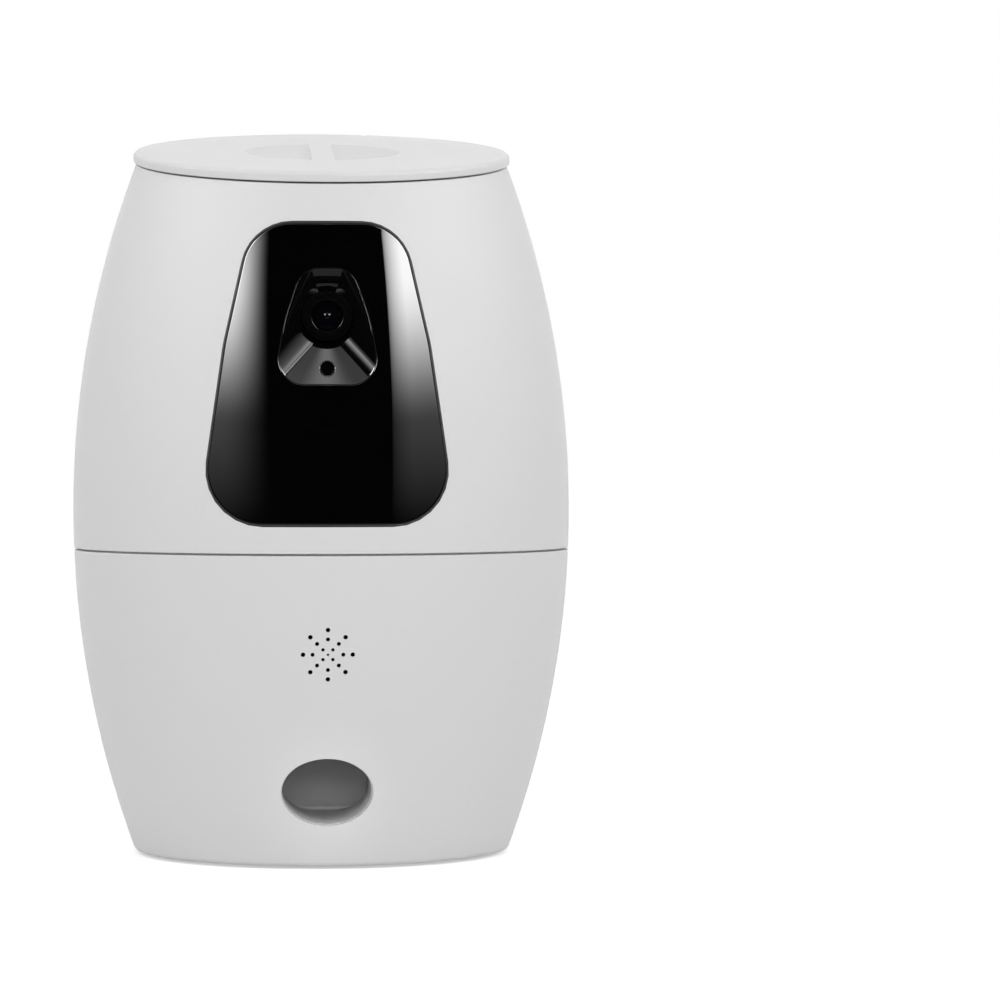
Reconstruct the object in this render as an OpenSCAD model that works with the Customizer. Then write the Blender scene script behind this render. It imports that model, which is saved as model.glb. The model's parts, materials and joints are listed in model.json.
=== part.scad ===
// Treat tossing pet camera: a barrel shaped body of two shells with a tilted lid, a camera behind a
// dark window, a treat hopper with a star wheel, and a spring driven arm that throws a treat out of
// the outlet at the front. The front faces -Y, +Z is up, and the origin is the middle of the
// footprint on the floor.

/* [Body] */
// Widest diameter of the body
body_d = 165; // [162:0.5:170]
// Height of the widest point above the floor
widest_z = 114; // [111:0.5:117]
// Radius of the arc of the side, seen from the front
side_r = 324; // [315:1:340]
// Wall thickness of both shells
wall = 2.6; // [2.2:0.1:3]
// Height of the seam between the shells
seam_z = 101; // [100:0.5:103]
// Width of the shadow gap at the seam
seam_gap = 0.6; // [0.3:0.1:1]
// Rounding of the edges at the seam
seam_round = 0.35; // [0.2:0.05:0.6]
// How far the feet lift the shell off the floor
foot_lift = 0.8; // [0.5:0.1:1.5]
// Rounding of the bottom edge of the shell
bottom_round = 2.4; // [1.5:0.1:2.5]

/* [Lid] */
// Height of the lid's underside on the body's axis
lid_z = 230; // [226:0.5:234]
// Forward tilt of the lid in degrees
lid_tilt = 9.5; // [6:0.5:12]
// Thickness of the lid's disc
lid_t = 3.4; // [3.2:0.1:4.2]
// How far the lid's rim stands out past the shell
lid_overhang = 0.4; // [0:0.1:1.2]
// Shadow gap between the lid and the shell
lid_gap = 0.6; // [0.4:0.1:1]
// Diameter of the finger dish in the lid
dish_d = 51.4; // [46:0.1:54]
// Depth of the finger dish
dish_depth = 11; // [9:0.1:12]
// Width of the grip bar across the dish
grip_w = 7.5; // [5:0.1:10]
// Radius that flares the grip bar into the dish
grip_flare = 9; // [7:0.1:10]
// How far the lid's plug lies in from the lid's rim
plug_inset = 16.3; // [15.9:0.1:17.3]
// Depth of the lid's plug
plug_h = 9; // [7:0.1:10]

/* [Window] */
// Height of the window's bottom edge
window_z = 110.3; // [109.5:0.1:112]
// Height of the window
window_h = 95.8; // [92:0.1:97]
// Width of the window at its widest
window_w = 76; // [72:0.1:78]
// Radius of the window's bottom corners
window_low_r = 17.4; // [15:0.1:20]
// Radius of the window's top corners
window_top_r = 15.8; // [13:0.1:18]
// Distance between the centres of the top corners
window_top_w = 22.2; // [18:0.1:26]
// Thickness of the window panel
window_t = 1.6; // [1.2:0.1:1.8]
// Width of the trim line around the window
trim_w = 0.5; // [0.4:0.1:0.8]

/* [Camera] */
// Height of the lens axis
lens_z = 176.4; // [174:0.1:178]
// How far the lens sits behind the window's surface
lens_setback = 2.9; // [2.4:0.1:4]
// Diameter of the lens barrel
lens_d = 15.8; // [14:0.1:16.4]
// Diameter of the front glass
glass_d = 10.4; // [9:0.1:11]
// Depth of the funnel around the lens
funnel_depth = 12; // [10:0.5:13]
// Height of the funnel's bottom edge
funnel_z = 154.5; // [153:0.1:156]
// Height of the funnel's mouth
funnel_h = 36.9; // [35:0.1:38]
// Width of the funnel's mouth at its widest
funnel_w = 31; // [29:0.1:33]
// Height of the microphone hole
mic_z = 159.7; // [159:0.1:160.4]
// Diameter of the microphone hole
mic_d = 4.6; // [3.6:0.1:5]
// Side of the camera's circuit board
camera_board_w = 25; // [24:0.5:28]

/* [Speaker] */
// Height of the middle of the grille
speaker_z = 69.5; // [68:0.5:71]
// Diameter of the speaker
speaker_d = 36; // [33:0.5:37]
// Diameter of the holes of the grille's outer ring
grille_d = 1.45; // [1.1:0.05:1.6]
// Radius of the grille's outer ring of holes
grille_r = 7.84; // [7:0.01:8.5]

/* [Outlet] */
// Height of the middle of the treat outlet
outlet_z = 25.3; // [25:0.1:26]
// Width of the outlet
outlet_w = 29.4; // [28:0.1:29.6]
// Height of the outlet
outlet_h = 21.9; // [20:0.1:22.2]
// Step from the outlet's rim in to the tunnel
outlet_step = 0.35; // [0.2:0.05:0.6]
// Wall thickness of the tunnel
tunnel_wall = 1.8; // [1.4:0.1:2]

/* [Hopper] */
// Inner radius of the hopper
hopper_r = 42; // [41:0.5:42.5]
// Wall thickness of the hopper and its floor
hopper_wall = 2.4; // [2:0.1:2.6]
// How far the hopper's axis lies behind the body's axis
hopper_y = 2; // [1:0.5:2.5]
// Height of the star wheel
wheel_h = 14; // [12:0.5:16]
// Number of pockets of the star wheel
pockets = 6; // [5:1:8]
// Thickness of the star wheel's vanes
vane_t = 3; // [2:0.1:4]
// Radius of the star wheel's hub
hub_r = 9; // [8:0.5:10]
// Radius of the drop hole in the hopper's floor
drop_r = 11.5; // [10.5:0.5:12]
// Distance of the drop hole from the hopper's axis
drop_reach = 27; // [26.5:0.5:28]

/* [Gears] */
// Module of all the gears
tooth_m = 0.8; // [0.78:0.01:0.82]
// Pressure angle of all the gears in degrees
pressure = 25; // [22:1:26]
// Free play on each side of a tooth
tooth_slack = 0.06; // [0.04:0.01:0.08]
// Teeth of the gear under the star wheel
wheel_teeth = 28; // [24:2:32]
// Teeth of the idler gear
idler_teeth = 24; // [20:2:26]
// Face width of the wheel drive's gears
gear_t = 6; // [5:0.5:6.5]

/* [Thrower] */
// Height of the throwing arm's shaft
drum_z = 50; // [49.5:0.5:50.5]
// How far the throwing arm's shaft lies in front of the body's axis
drum_front = 6; // [5:0.5:7]
// Inner radius of the throwing drum
drum_r = 38; // [37:0.5:38.5]
// Inner width of the throwing drum
drum_w = 29.2; // [29.2:0.1:30]
// Wall thickness of the drum
drum_wall = 2; // [1.6:0.1:2.2]
// Length of the throwing arm from its shaft
arm_len = 37; // [33:0.5:37]
// Forward lean of the resting arm in degrees
arm_lean = 15; // [10:1:18]
// Radius of the throwing arm's shaft
toss_shaft_r = 2; // [1.8:0.1:2.2]
// Diameter of both gearmotors
motor_d = 20; // [18:0.5:20]

/* [Fits] */
// Radial clearance of shafts, pins and screws in their holes
run_fit = 0.05; // [0.03:0.01:0.08]
// Clearance between pieces that sit in each other
fit = 0.3; // [0.2:0.05:0.35]

/* [Hidden] */

$fn = 72;
white = [0.90, 0.90, 0.90];
pale = [0.82, 0.82, 0.83];
window_black = [0.03, 0.03, 0.035];
board_green = [0.08, 0.32, 0.16];
steel = [0.70, 0.71, 0.73];
brass = [0.78, 0.64, 0.34];
dark = [0.12, 0.12, 0.13];
gear_white = [0.92, 0.91, 0.86];
far = 400;

body_r = body_d / 2;
function side_x(z, inset = 0) = body_r - side_r + sqrt(pow(side_r - inset, 2) - pow(z - widest_z, 2));
function arc(r, a0, a1, steps) = [for (i = [0:steps]) let (a = a0 + (a1 - a0) * i / steps) r * [cos(a), sin(a)]];

// The lid's circle: how far the body's side is from the axis, along the tilted rim
function rim_reach(side, n = 5) = n == 0 ? side_x(lid_z)
    : side_x(lid_z - side * rim_reach(side, n - 1) * sin(lid_tilt)) / cos(lid_tilt);
rim_r = (rim_reach(1) + rim_reach(-1)) / 2;
lid_shift = (rim_reach(1) - rim_reach(-1)) / 2;
plug_r = rim_r - plug_inset;
lid_r = rim_r + lid_overhang;
lid_round = 1.5;
lid_low_round = 0.6;
dish_r = (pow(dish_d / 2, 2) + pow(dish_depth, 2)) / (2 * dish_depth);
bowl_t = 2.4;
collar_r = plug_r + 2;
collar_t = hopper_wall + fit;
deck_drop = 3.4;
deck_t = 2.6;
flange_r = collar_r + 7;
flange_t = deck_drop - 1.2;
plug_flange_t = 0.9;
gasket_t = 1.7;
gasket_h = 3;

// Heights up the mechanism, from the seam to the star wheel
plate_z = seam_z + 3;
plate_t = 2.5;
gear_z = plate_z + plate_t + 1.1;
floor_z = gear_z + gear_t + 2.4;
floor_top = floor_z + hopper_wall;
wheel_z = floor_top + 0.5;
cover_z = wheel_z + wheel_h + 1;
cover_t = 2;
agitator_z = cover_z + cover_t + 1.2;
wheel_r = hopper_r - 0.6;
drop_y = hopper_y - drop_reach;
wheel_shaft_r = 3;
idler_pin_r = 2;
pinion_shaft_r = 1.5;
tongue_h = 2.5;

// Gears
function pitch_r(n) = tooth_m * n / 2;
function tip_r(n) = pitch_r(n) + 0.95 * tooth_m;
function root_r(n) = pitch_r(n) - 1.2 * tooth_m;
function base_r(n) = pitch_r(n) * cos(pressure);
function involute(a) = tan(a) * 180 / PI - a;
function flank(n, r) = 90 / n - tooth_slack / pitch_r(n) * 180 / PI + involute(pressure)
    - involute(acos(min(1, base_r(n) / r)));
function tooth_radius(n, i) = root_r(n) + (tip_r(n) - root_r(n)) * i / 3;
function tooth(n, at) = concat(
    [for (i = [0:3]) let (r = tooth_radius(n, i)) r * [cos(at - flank(n, r)), sin(at - flank(n, r))]],
    [for (i = [3:-1:0]) let (r = tooth_radius(n, i)) r * [cos(at + flank(n, r)), sin(at + flank(n, r))]]);
function gear_points(n, teeth) = concat(
    [for (i = [0:teeth - 1]) each tooth(n, i * 360 / n)],
    teeth < n ? arc(root_r(n), (teeth - 0.5) * 360 / n, 360 * (1 - 0.5 / n), 40) : []);

pinion_teeth = 14;
idler_x = -pitch_r(wheel_teeth) - pitch_r(idler_teeth);
pinion_x = idler_x - pitch_r(idler_teeth) - pitch_r(pinion_teeth);

// The thrower's gear train, seen along X: the arm's gear, the winder and the motor's pinion
arm_gap = 0.8;
arm_teeth = 20;
sector_teeth = 40;
winder_teeth = 56;
sector_cut = 7;
train_a = 20;
drum_y = -drum_front;
drum_out_r = drum_r + drum_wall;
drum_half = drum_w / 2 + drum_wall;
winder_y = drum_y + (pitch_r(arm_teeth) + pitch_r(sector_teeth)) * cos(train_a);
winder_z = drum_z + (pitch_r(arm_teeth) + pitch_r(sector_teeth)) * sin(train_a);
toss_motor_y = winder_y + pitch_r(winder_teeth) + pitch_r(pinion_teeth);
arm_gear_x = drum_half + 1.6;
arm_gear_t = 6;
winder_x = arm_gear_x + arm_gear_t + 1.5;
winder_t = 4.5;
bracket_x = winder_x + winder_t + 1.5;
bracket_t = 2;
winder_shaft_r = 2.5;
bush_t = 2;
neck_r = drop_r + 0.5;
neck_wall = 1.6;
lug_r = 4;
lug_reach = drum_out_r + 3;
lug_angles = [35, 90, 180, 300];
post_angles = [90, 300];
screw_r = 1.5;
head_r = 2.9;
head_h = 2;

// The shells' bosses
boss_r = 4.2;
boss_angles = [45, 135, 225, 315];
boss_at = side_x(seam_z) - 12.3;
boss_h = 20;
boss_up = 11.5;
base_z = foot_lift + 0.4;
base_t = 2.9;
base_r = side_x(foot_lift, wall) - fit;
ledge_t = 2.4;
ledge_w = 11.5;
base_screw_in = 6;
base_screw_at = base_r - base_screw_in;
base_boss_h = 10;
foot_at = base_r - 13;
foot_r = 7;
foot_sink = 0.6;

// The front: window, funnel, lens and boards
window_mid_z = window_z + window_h * 0.48;
lens_y = -(side_x(lens_z) - lens_setback);
funnel_y = -(side_x(lens_z) - funnel_depth);
hood_t = 2;
hood_back_y = funnel_y + hood_t;
hood_post_h = 6;
camera_board_y = hood_back_y + hood_post_h;
camera_board_t = 1.6;
camera_screw_at = camera_board_w / 2 - 3;
glass_r = glass_d / 2;
led_board_z = [window_z + 14, window_z + 38];
led_board_y = hood_back_y - 4;
led_board_t = 1.6;
led_x = 12;
led_r = 2.5;
led_len = 5;
mic_r = 3;
mic_t = 2.5;
window_low_x = window_w / 2 - window_low_r;
window_top_x = window_top_w / 2;
window_side_r = 61;
window_side_x = window_w / 2 - 65.6;
funnel_low_r = 8.3;
funnel_top_r = 7.4;
funnel_top_x = 2.7;
funnel_side_r = 48;
funnel_side_x = funnel_w / 2 - 48.76;
funnel_side_z = funnel_z + 9.1;
funnel_lip = 0.8;

// The speaker, the circuit board and what is on it
speaker_y = -(side_x(speaker_z - speaker_d / 2, wall) - 3.2);
speaker_seat = 3;
speaker_t = 9;
magnet_r = 9;
magnet_t = 4;
board_y = side_x(34.5, wall) - 11.8;
board_t = 1.6;
board_x = 30;
board_low = 30;
board_high = 90;
board_screw_x = 26;
board_screw_zs = [42, 84];
jack_z = 34.5;
jack_w = 9;
jack_plug_r = 1.85;
jack_pin_r = 0.65;
jack_nose_r = 3.8;
reset_z = 48;
reset_r = 2;
reset_collar_r = 3.2;
reset_travel = 1;
switch_w = 6;
switch_t = 3.5;
cable_r = 1.5;
cable_hole = [40, 50];

// A closed outline around circles [x, z, r], listed anticlockwise, joined by their tangents
function tangent(a, b) = let (d = [b[0] - a[0], b[1] - a[1]])
    atan2(d[1], d[0]) - acos((a[2] - b[2]) / norm(d));
function wrap(a) = a < 0 ? wrap(a + 360) : a;
function around(list, grow, steps = 7) = let (n = len(list)) [for (i = [0:n - 1])
    let (c = list[i], a0 = tangent(list[(i + n - 1) % n], c), a1 = tangent(c, list[(i + 1) % n]))
    let (turn = wrap(a1 - a0))
    for (p = arc(c[2] + grow, a0, a0 + turn, steps)) [c[0], c[1]] + p];
window_circles = let (top_z = window_z + window_h - window_top_r, low_z = window_z + window_low_r) [
    [-window_low_x, low_z, window_low_r], [window_low_x, low_z, window_low_r],
    [window_side_x, window_mid_z, window_side_r],
    [window_top_x, top_z, window_top_r], [-window_top_x, top_z, window_top_r],
    [-window_side_x, window_mid_z, window_side_r]];
funnel_circles = let (top_z = funnel_z + funnel_h - funnel_top_r, low_z = funnel_z + funnel_low_r)
    let (low_x = funnel_w / 2 - funnel_low_r) [
    [-low_x, low_z, funnel_low_r], [low_x, low_z, funnel_low_r],
    [funnel_side_x, funnel_side_z, funnel_side_r],
    [funnel_top_x, top_z, funnel_top_r], [-funnel_top_x, top_z, funnel_top_r],
    [-funnel_side_x, funnel_side_z, funnel_side_r]];

// The funnel's walls run from this outline, with sharp lower corners, in to a small one
funnel_corner_x = funnel_w / 2 + 2;
funnel_face = let (r = 0.2, x = funnel_corner_x - r) around([
    [-x, funnel_z + r, r], [x, funnel_z + r, r], each [for (i = [2:5]) funnel_circles[i] + [0, 0, funnel_lip]]], 0);
funnel_end = [for (p = [[-4.1, -6.2], [4.1, -6.2], [1.8, 3.1], [-1.8, 3.1]]) [p[0], lens_z + p[1]]];

// ---- helpers ----

// The barrel between two heights, with its side moved in by inset
module barrel(inset = 0, z0 = 0, z1 = 260) {
    rotate_extrude($fn = 180) intersection() {
        translate([body_r - side_r, widest_z]) circle(r = side_r - inset, $fn = 400);
        translate([0, z0]) square([body_d, z1 - z0]);
    }
}

// Children given in the lid's own plane, with w = 0 at the lid's underside
module on_lid(w = 0) {
    translate([0, 0, lid_z]) rotate([lid_tilt, 0, 0]) translate([0, -lid_shift, w]) children();
}

module lid_disc(w0, w1, r) {
    on_lid(w0) cylinder(r = r, h = w1 - w0);
}

module below_lid(w) {
    on_lid(w - far) translate([-far / 2, -far / 2, 0]) cube([far, far, far]);
}

// An outline in X and Z, made solid along Y from y0 forward to y1
module front_prism(points, y0 = -30, y1 = -95) {
    translate([0, y0, 0]) rotate([90, 0, 0]) linear_extrude(y0 - y1) polygon(points);
}

// A round bar along Y that starts at y and runs forward, towards -Y
module forward_bar(x, y, z, r, h) {
    translate([x, y, z]) rotate([90, 0, 0]) cylinder(r = r, h = h);
}

// A round bar along Y that starts at y and runs back, towards +Y
module rear_bar(x, y, z, r, h) {
    translate([x, y, z]) rotate([-90, 0, 0]) cylinder(r = r, h = h);
}

// Children drawn in Y and Z, and standing along X from x
module along_x(x, y, z) {
    translate([x, y, z]) rotate([90, 0, 90]) children();
}

module side_bar(x, y, z, r, h) {
    along_x(x, y, z) cylinder(r = r, h = h);
}

module at_angles(angles, reach) {
    for (a = angles) rotate([0, 0, a]) translate([reach, 0, 0]) children();
}

module gear(n, t, bore, phase = 0, teeth = 0) {
    difference() {
        rotate([0, 0, phase]) linear_extrude(t) polygon(gear_points(n, teeth == 0 ? n : teeth));
        translate([0, 0, -1]) cylinder(r = bore, h = t + 2);
    }
}

// A screw that stands on its head, with a cross in the head's underside
module screw(length, r = screw_r) {
    difference() {
        union() {
            cylinder(r = head_r, h = head_h);
            cylinder(r = r, h = head_h + length);
        }
        for (a = [0, 90]) rotate([0, 0, a]) translate([-1.7, -0.35, -1]) cube([3.4, 0.7, 2]);
    }
}

// ---- casing ----

module upper_shell() color(white) {
    difference() {
        union() {
            difference() {
                intersection() {
                    barrel(0, seam_z + seam_gap / 2);
                    below_lid(-lid_gap);
                }
                barrel(wall, seam_z - 10);
            }
            intersection() {
                barrel(wall / 2, seam_z + 60);
                lid_disc(-deck_drop - deck_t, -deck_drop, body_r);
            }
            intersection() {
                at_angles(boss_angles, boss_at) translate([0, 0, plate_z + plate_t]) {
                    cylinder(r = boss_r, h = boss_up);
                    translate([0, -1.5, 0]) cube([20, 3, boss_up]);
                }
                barrel(wall / 2);
            }
        }
        lid_disc(-deck_drop - 4 * deck_t, lid_gap, collar_r + collar_t + fit);
        intersection() {
            front_prism(around(window_circles, trim_w + 0.05));
            difference() {
                barrel(-4);
                barrel(window_t);
            }
        }
        front_prism(around(window_circles, -4));
        at_angles(boss_angles, boss_at) translate([0, 0, plate_z]) cylinder(r = screw_r + run_fit, h = 12);
        seam_rounding(seam_z + seam_gap / 2, 1);
    }
}

// The ring of material that a rounded edge takes off at height z: side 1 above it, -1 below it
module seam_rounding(z, side) {
    r = side_x(z);
    translate([0, 0, z]) mirror([0, 0, side > 0 ? 0 : 1]) rotate_extrude($fn = 180) difference() {
        translate([r - seam_round, -1]) square([2, 1 + seam_round]);
        translate([r - seam_round, seam_round]) circle(r = seam_round, $fn = 32);
    }
}

module lower_outline() {
    edge_x = side_x(foot_lift + bottom_round, bottom_round);
    lean = asin((foot_lift + bottom_round - widest_z) / (side_r - bottom_round));
    edge_z = foot_lift + bottom_round;
    rotate_extrude($fn = 180) {
        intersection() {
            translate([body_r - side_r, widest_z]) circle(r = side_r, $fn = 400);
            translate([0, edge_z + bottom_round * sin(lean)]) square([body_d, far]);
        }
        translate([edge_x, edge_z]) circle(r = bottom_round, $fn = 48);
        translate([0, foot_lift]) square([edge_x, 2 * bottom_round]);
    }
}

module outlet_bar(shrink, y0, y1) {
    translate([0, y0, outlet_z]) rotate([90, 0, 0]) linear_extrude(y0 - y1)
        scale([1, (outlet_h / 2 - shrink) / (outlet_w / 2 - shrink)]) circle(r = outlet_w / 2 - shrink);
}

module grille_holes() {
    rings = [[1, 0, 0, 0.4], [4, 45, 2.2, 0.55], [8, 0, 4.85, 0.65], [8, 0, grille_r, grille_d / 2]];
    for (ring = rings, i = [0:ring[0] - 1]) let (a = ring[1] + i * 360 / ring[0])
        forward_bar(ring[2] * cos(a), -60, speaker_z + ring[2] * sin(a), ring[3], 30);
}

module lower_shell() color(white) {
    difference() {
        union() {
            difference() {
                intersection() {
                    lower_outline();
                    translate([0, 0, -1]) cylinder(r = body_d, h = seam_z - seam_gap / 2 + 1);
                }
                barrel(wall, -5, seam_z + 5);
            }
            // The tongue that centres the upper shell
            difference() {
                barrel(wall - 0.3, seam_z - 5, seam_z - seam_gap / 2);
                barrel(wall + 1.8, seam_z - 6, seam_z);
            }
            difference() {
                barrel(wall + 0.2, seam_z - 4, seam_z + tongue_h);
                barrel(wall + 1.8, seam_z - 6, seam_z + 4);
            }
            // The ledge that the base plate is screwed to
            difference() {
                intersection() {
                    lower_outline();
                    translate([0, 0, base_z + base_t]) cylinder(r = body_r, h = ledge_t);
                }
                cylinder(r = base_r - ledge_w, h = 20);
            }
            at_angles(boss_angles, base_screw_at) translate([0, 0, base_z + base_t])
                cylinder(r = boss_r, h = base_boss_h);
            // Bosses for the frame and the upper shell
            intersection() {
                at_angles(boss_angles, boss_at) translate([0, 0, plate_z - boss_h]) {
                    cylinder(r = boss_r, h = boss_h);
                    translate([0, -1.5, 0]) cube([20, 3, boss_h - tongue_h]);
                }
                barrel(wall / 2, 5, seam_z - 2);
            }
            at_angles(boss_angles, boss_at) translate([0, 0, plate_z - boss_h])
                cylinder(r = boss_r, h = boss_h);
            // The seat of the speaker
            intersection() {
                difference() {
                    forward_bar(0, speaker_y, speaker_z, speaker_d / 2 + 2, 20);
                    forward_bar(0, speaker_y + 1, speaker_z, speaker_d / 2 - 1, 30);
                }
                barrel(wall / 2);
            }
            // Posts for the circuit board
            intersection() {
                for (x = [-board_screw_x, board_screw_x], z = board_screw_zs)
                    rear_bar(x, board_y + board_t, z, 3, 30);
                barrel(wall / 2);
            }
        }
        translate([0, 0, foot_lift - 1]) cylinder(r = base_r + fit, h = base_z + base_t - foot_lift + 1);
        outlet_bar(0, -40, -90);
        grille_holes();
        rear_bar(0, 60, jack_z, jack_nose_r + 0.2, 40);
        rear_bar(0, 60, reset_z, reset_r + 0.1, 40);
        at_angles(boss_angles, boss_at) translate([0, 0, plate_z - boss_h - 1])
            cylinder(r = screw_r + run_fit, h = boss_h + 5);
        at_angles(boss_angles, base_screw_at) cylinder(r = screw_r + run_fit, h = 12.5);
        for (x = [-board_screw_x, board_screw_x], z = board_screw_zs)
            rear_bar(x, board_y, z, 1.2 + run_fit, 7);
        seam_rounding(seam_z - seam_gap / 2, -1);
    }
}

module base_plate() color(pale) {
    difference() {
        translate([0, 0, base_z]) cylinder(r = base_r, h = base_t);
        at_angles(boss_angles, base_screw_at) {
            cylinder(r = screw_r + 0.2, h = 10);
            cylinder(r = head_r + 0.3, h = base_z + head_h + 0.2);
        }
        at_angles([0, 90, 180, 270], foot_at) cylinder(r = foot_r + 0.1, h = base_z + foot_sink);
    }
}

module rubber_feet() color(dark) {
    at_angles([0, 90, 180, 270], foot_at) rotate_extrude() {
        square([foot_r - 0.4, base_z + foot_sink]);
        translate([0, 0.4]) square([foot_r, base_z + foot_sink - 0.4]);
    }
}

module base_screws() color(steel) {
    at_angles(boss_angles, base_screw_at) translate([0, 0, base_z + 0.2]) screw(9);
}

module shell_screws() color(steel) {
    at_angles(boss_angles, boss_at) translate([0, 0, plate_z - boss_h - head_h])
        screw(boss_h + plate_t + 7);
}

// ---- lid ----

module lid() color(white) {
    difference() {
        union() {
            on_lid() rotate_extrude($fn = 180) {
                square([lid_r - lid_round, lid_t]);
                translate([0, lid_low_round]) square([lid_r, lid_t - lid_round - lid_low_round]);
                translate([lid_r - lid_round, lid_t - lid_round]) circle(r = lid_round, $fn = 48);
                translate([lid_r - lid_low_round, lid_low_round]) circle(r = lid_low_round, $fn = 32);
                square([lid_r - lid_low_round, lid_t - lid_round]);
            }
            intersection() {
                on_lid(lid_t - dish_depth + dish_r) sphere(r = dish_r + bowl_t, $fn = 120);
                lid_disc(-2 * dish_depth, lid_t / 2, dish_d / 2 + 6);
            }
        }
        difference() {
            on_lid(lid_t - dish_depth + dish_r) sphere(r = dish_r, $fn = 120);
            grip_bar();
        }
    }
}

// The bar that the fingers pinch, flared on both sides into the dish
module grip_bar() {
    w = grip_w + 2 * grip_flare;
    on_lid(lid_t) rotate([90, 0, 0]) translate([0, 0, -far / 8]) linear_extrude(far / 4) difference() {
        translate([-w / 2, -2 * dish_depth]) square([w, 2 * dish_depth]);
        for (s = [-1, 1]) translate([s * w / 2, 0]) circle(r = grip_flare);
    }
}

module lid_plug() color(pale) {
    difference() {
        union() {
            lid_disc(-plug_flange_t, 0, plug_r + 5);
            lid_disc(-plug_h, 0, plug_r);
        }
        lid_disc(-plug_h - 1, 1, plug_r - 3);
        difference() {
            lid_disc(-plug_h + 3, -plug_h + 3 + gasket_h + 0.2, plug_r + 3);
            lid_disc(-plug_h + 3, -plug_h + 3 + gasket_h + 0.2, plug_r - 1);
        }
    }
}

module lid_gasket() color([0.35, 0.36, 0.38]) {
    difference() {
        lid_disc(-plug_h + 3.1, -plug_h + 3.1 + gasket_h, plug_r + gasket_t);
        lid_disc(-plug_h + 2, -plug_h + 4 + gasket_h, plug_r - 0.95);
    }
}

// ---- window and camera ----

module front_window() color(window_black) {
    difference() {
        intersection() {
            front_prism(around(window_circles, -0.05));
            barrel(0);
        }
        barrel(window_t - 0.05);
        front_prism(around(funnel_circles, 0));
    }
}

module window_trim() color([0.62, 0.62, 0.64]) {
    difference() {
        intersection() {
            front_prism(around(window_circles, trim_w));
            barrel(0);
        }
        barrel(window_t - 0.05);
        front_prism(around(window_circles, 0));
    }
}

module lens_hood() color(window_black) {
    difference() {
        union() {
            intersection() {
                front_prism(around(funnel_circles, hood_t), hood_back_y);
                barrel(window_t);
            }
            difference() {
                intersection() {
                    front_prism(around(funnel_circles, 5.5));
                    barrel(window_t);
                }
                barrel(window_t + hood_t);
            }
            for (x = [-1, 1], z = [-1, 1])
                rear_bar(x * camera_screw_at, hood_back_y, lens_z + z * camera_screw_at, 2.2, hood_post_h);
            for (x = [-1, 1])
                translate([x * (led_x + 3) - 2, led_board_y, led_board_z[0]])
                    cube([4, hood_back_y - led_board_y, funnel_z + 2 - led_board_z[0]]);
        }
        intersection() {
            hull() {
                front_prism(funnel_face, -side_x(lens_z) + 0.01, -side_x(lens_z));
                front_prism(funnel_end, funnel_y, funnel_y - 0.01);
            }
            front_prism(around(funnel_circles, 0));
        }
        front_prism(around(funnel_circles, 0), -side_x(lens_z));
        forward_bar(0, hood_back_y + 1, lens_z, lens_d / 2 + 0.1, 12);
        forward_bar(0, hood_back_y + 1, mic_z, mic_d / 2, 20);
        forward_bar(0, hood_back_y + 1, mic_z, mic_r + 0.1, 6);
        for (x = [-1, 1], z = [-1, 1])
            forward_bar(x * camera_screw_at, camera_board_y + 1, lens_z + z * camera_screw_at, 1.05, 7);
    }
}

module lens_barrel() color(dark) {
    difference() {
        union() {
            forward_bar(0, camera_board_y, lens_z, lens_d / 2, camera_board_y - lens_y);
            forward_bar(0, camera_board_y, lens_z, lens_d / 2 - 1, camera_board_y - lens_y + 0.5);
        }
        forward_bar(0, camera_board_y - 3, lens_z, glass_r + 0.05, 40);
        forward_bar(0, lens_y + 1.2, lens_z, glass_r + 1.35, 40);
        forward_bar(0, camera_board_y + 1, lens_z, 4, 30);
    }
}

module lens_retainer() color(dark) {
    difference() {
        forward_bar(0, lens_y + 1.2, lens_z, glass_r + 1.3, 1.4);
        forward_bar(0, lens_y + 2, lens_z, glass_r - 0.3, 6);
    }
}

module lens_glass() color([0.05, 0.06, 0.09]) {
    dome = 14;
    intersection() {
        forward_bar(0, lens_y + 6, lens_z, glass_r, 12);
        union() {
            forward_bar(0, lens_y + 6, lens_z, glass_r, 4.7);
            intersection() {
                translate([0, lens_y + dome + 0.3, lens_z]) sphere(r = dome);
                forward_bar(0, lens_y + 3, lens_z, glass_r - 0.35, 6);
            }
        }
    }
}

module camera_board() color(board_green) {
    difference() {
        translate([-camera_board_w / 2, camera_board_y, lens_z - camera_board_w / 2])
            cube([camera_board_w, camera_board_t, camera_board_w]);
        for (x = [-1, 1], z = [-1, 1])
            rear_bar(x * camera_screw_at, camera_board_y - 1, lens_z + z * camera_screw_at, 1.2, 5);
    }
}

module image_sensor() color(dark) {
    translate([-3.5, camera_board_y - 1.5, lens_z - 2]) cube([7, 1.5, 4]);
}

module camera_screws() color(steel) {
    for (x = [-1, 1], z = [-1, 1]) {
        y = camera_board_y + camera_board_t;
        rear_bar(x * camera_screw_at, y, lens_z + z * camera_screw_at, 1.9, 1.2);
        forward_bar(x * camera_screw_at, y + 0.6, lens_z + z * camera_screw_at, 1, 6.5);
    }
}

module microphone() color([0.66, 0.67, 0.69]) {
    difference() {
        forward_bar(0, hood_back_y - 5 + mic_t, mic_z, mic_r, mic_t);
        forward_bar(0, hood_back_y - 4.4, mic_z, 0.8, 3);
    }
}

module ir_led_board() color(dark) {
    translate([-led_x - 6, led_board_y - led_board_t, led_board_z[0]])
        cube([2 * led_x + 12, led_board_t, led_board_z[1] - led_board_z[0]]);
}

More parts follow.
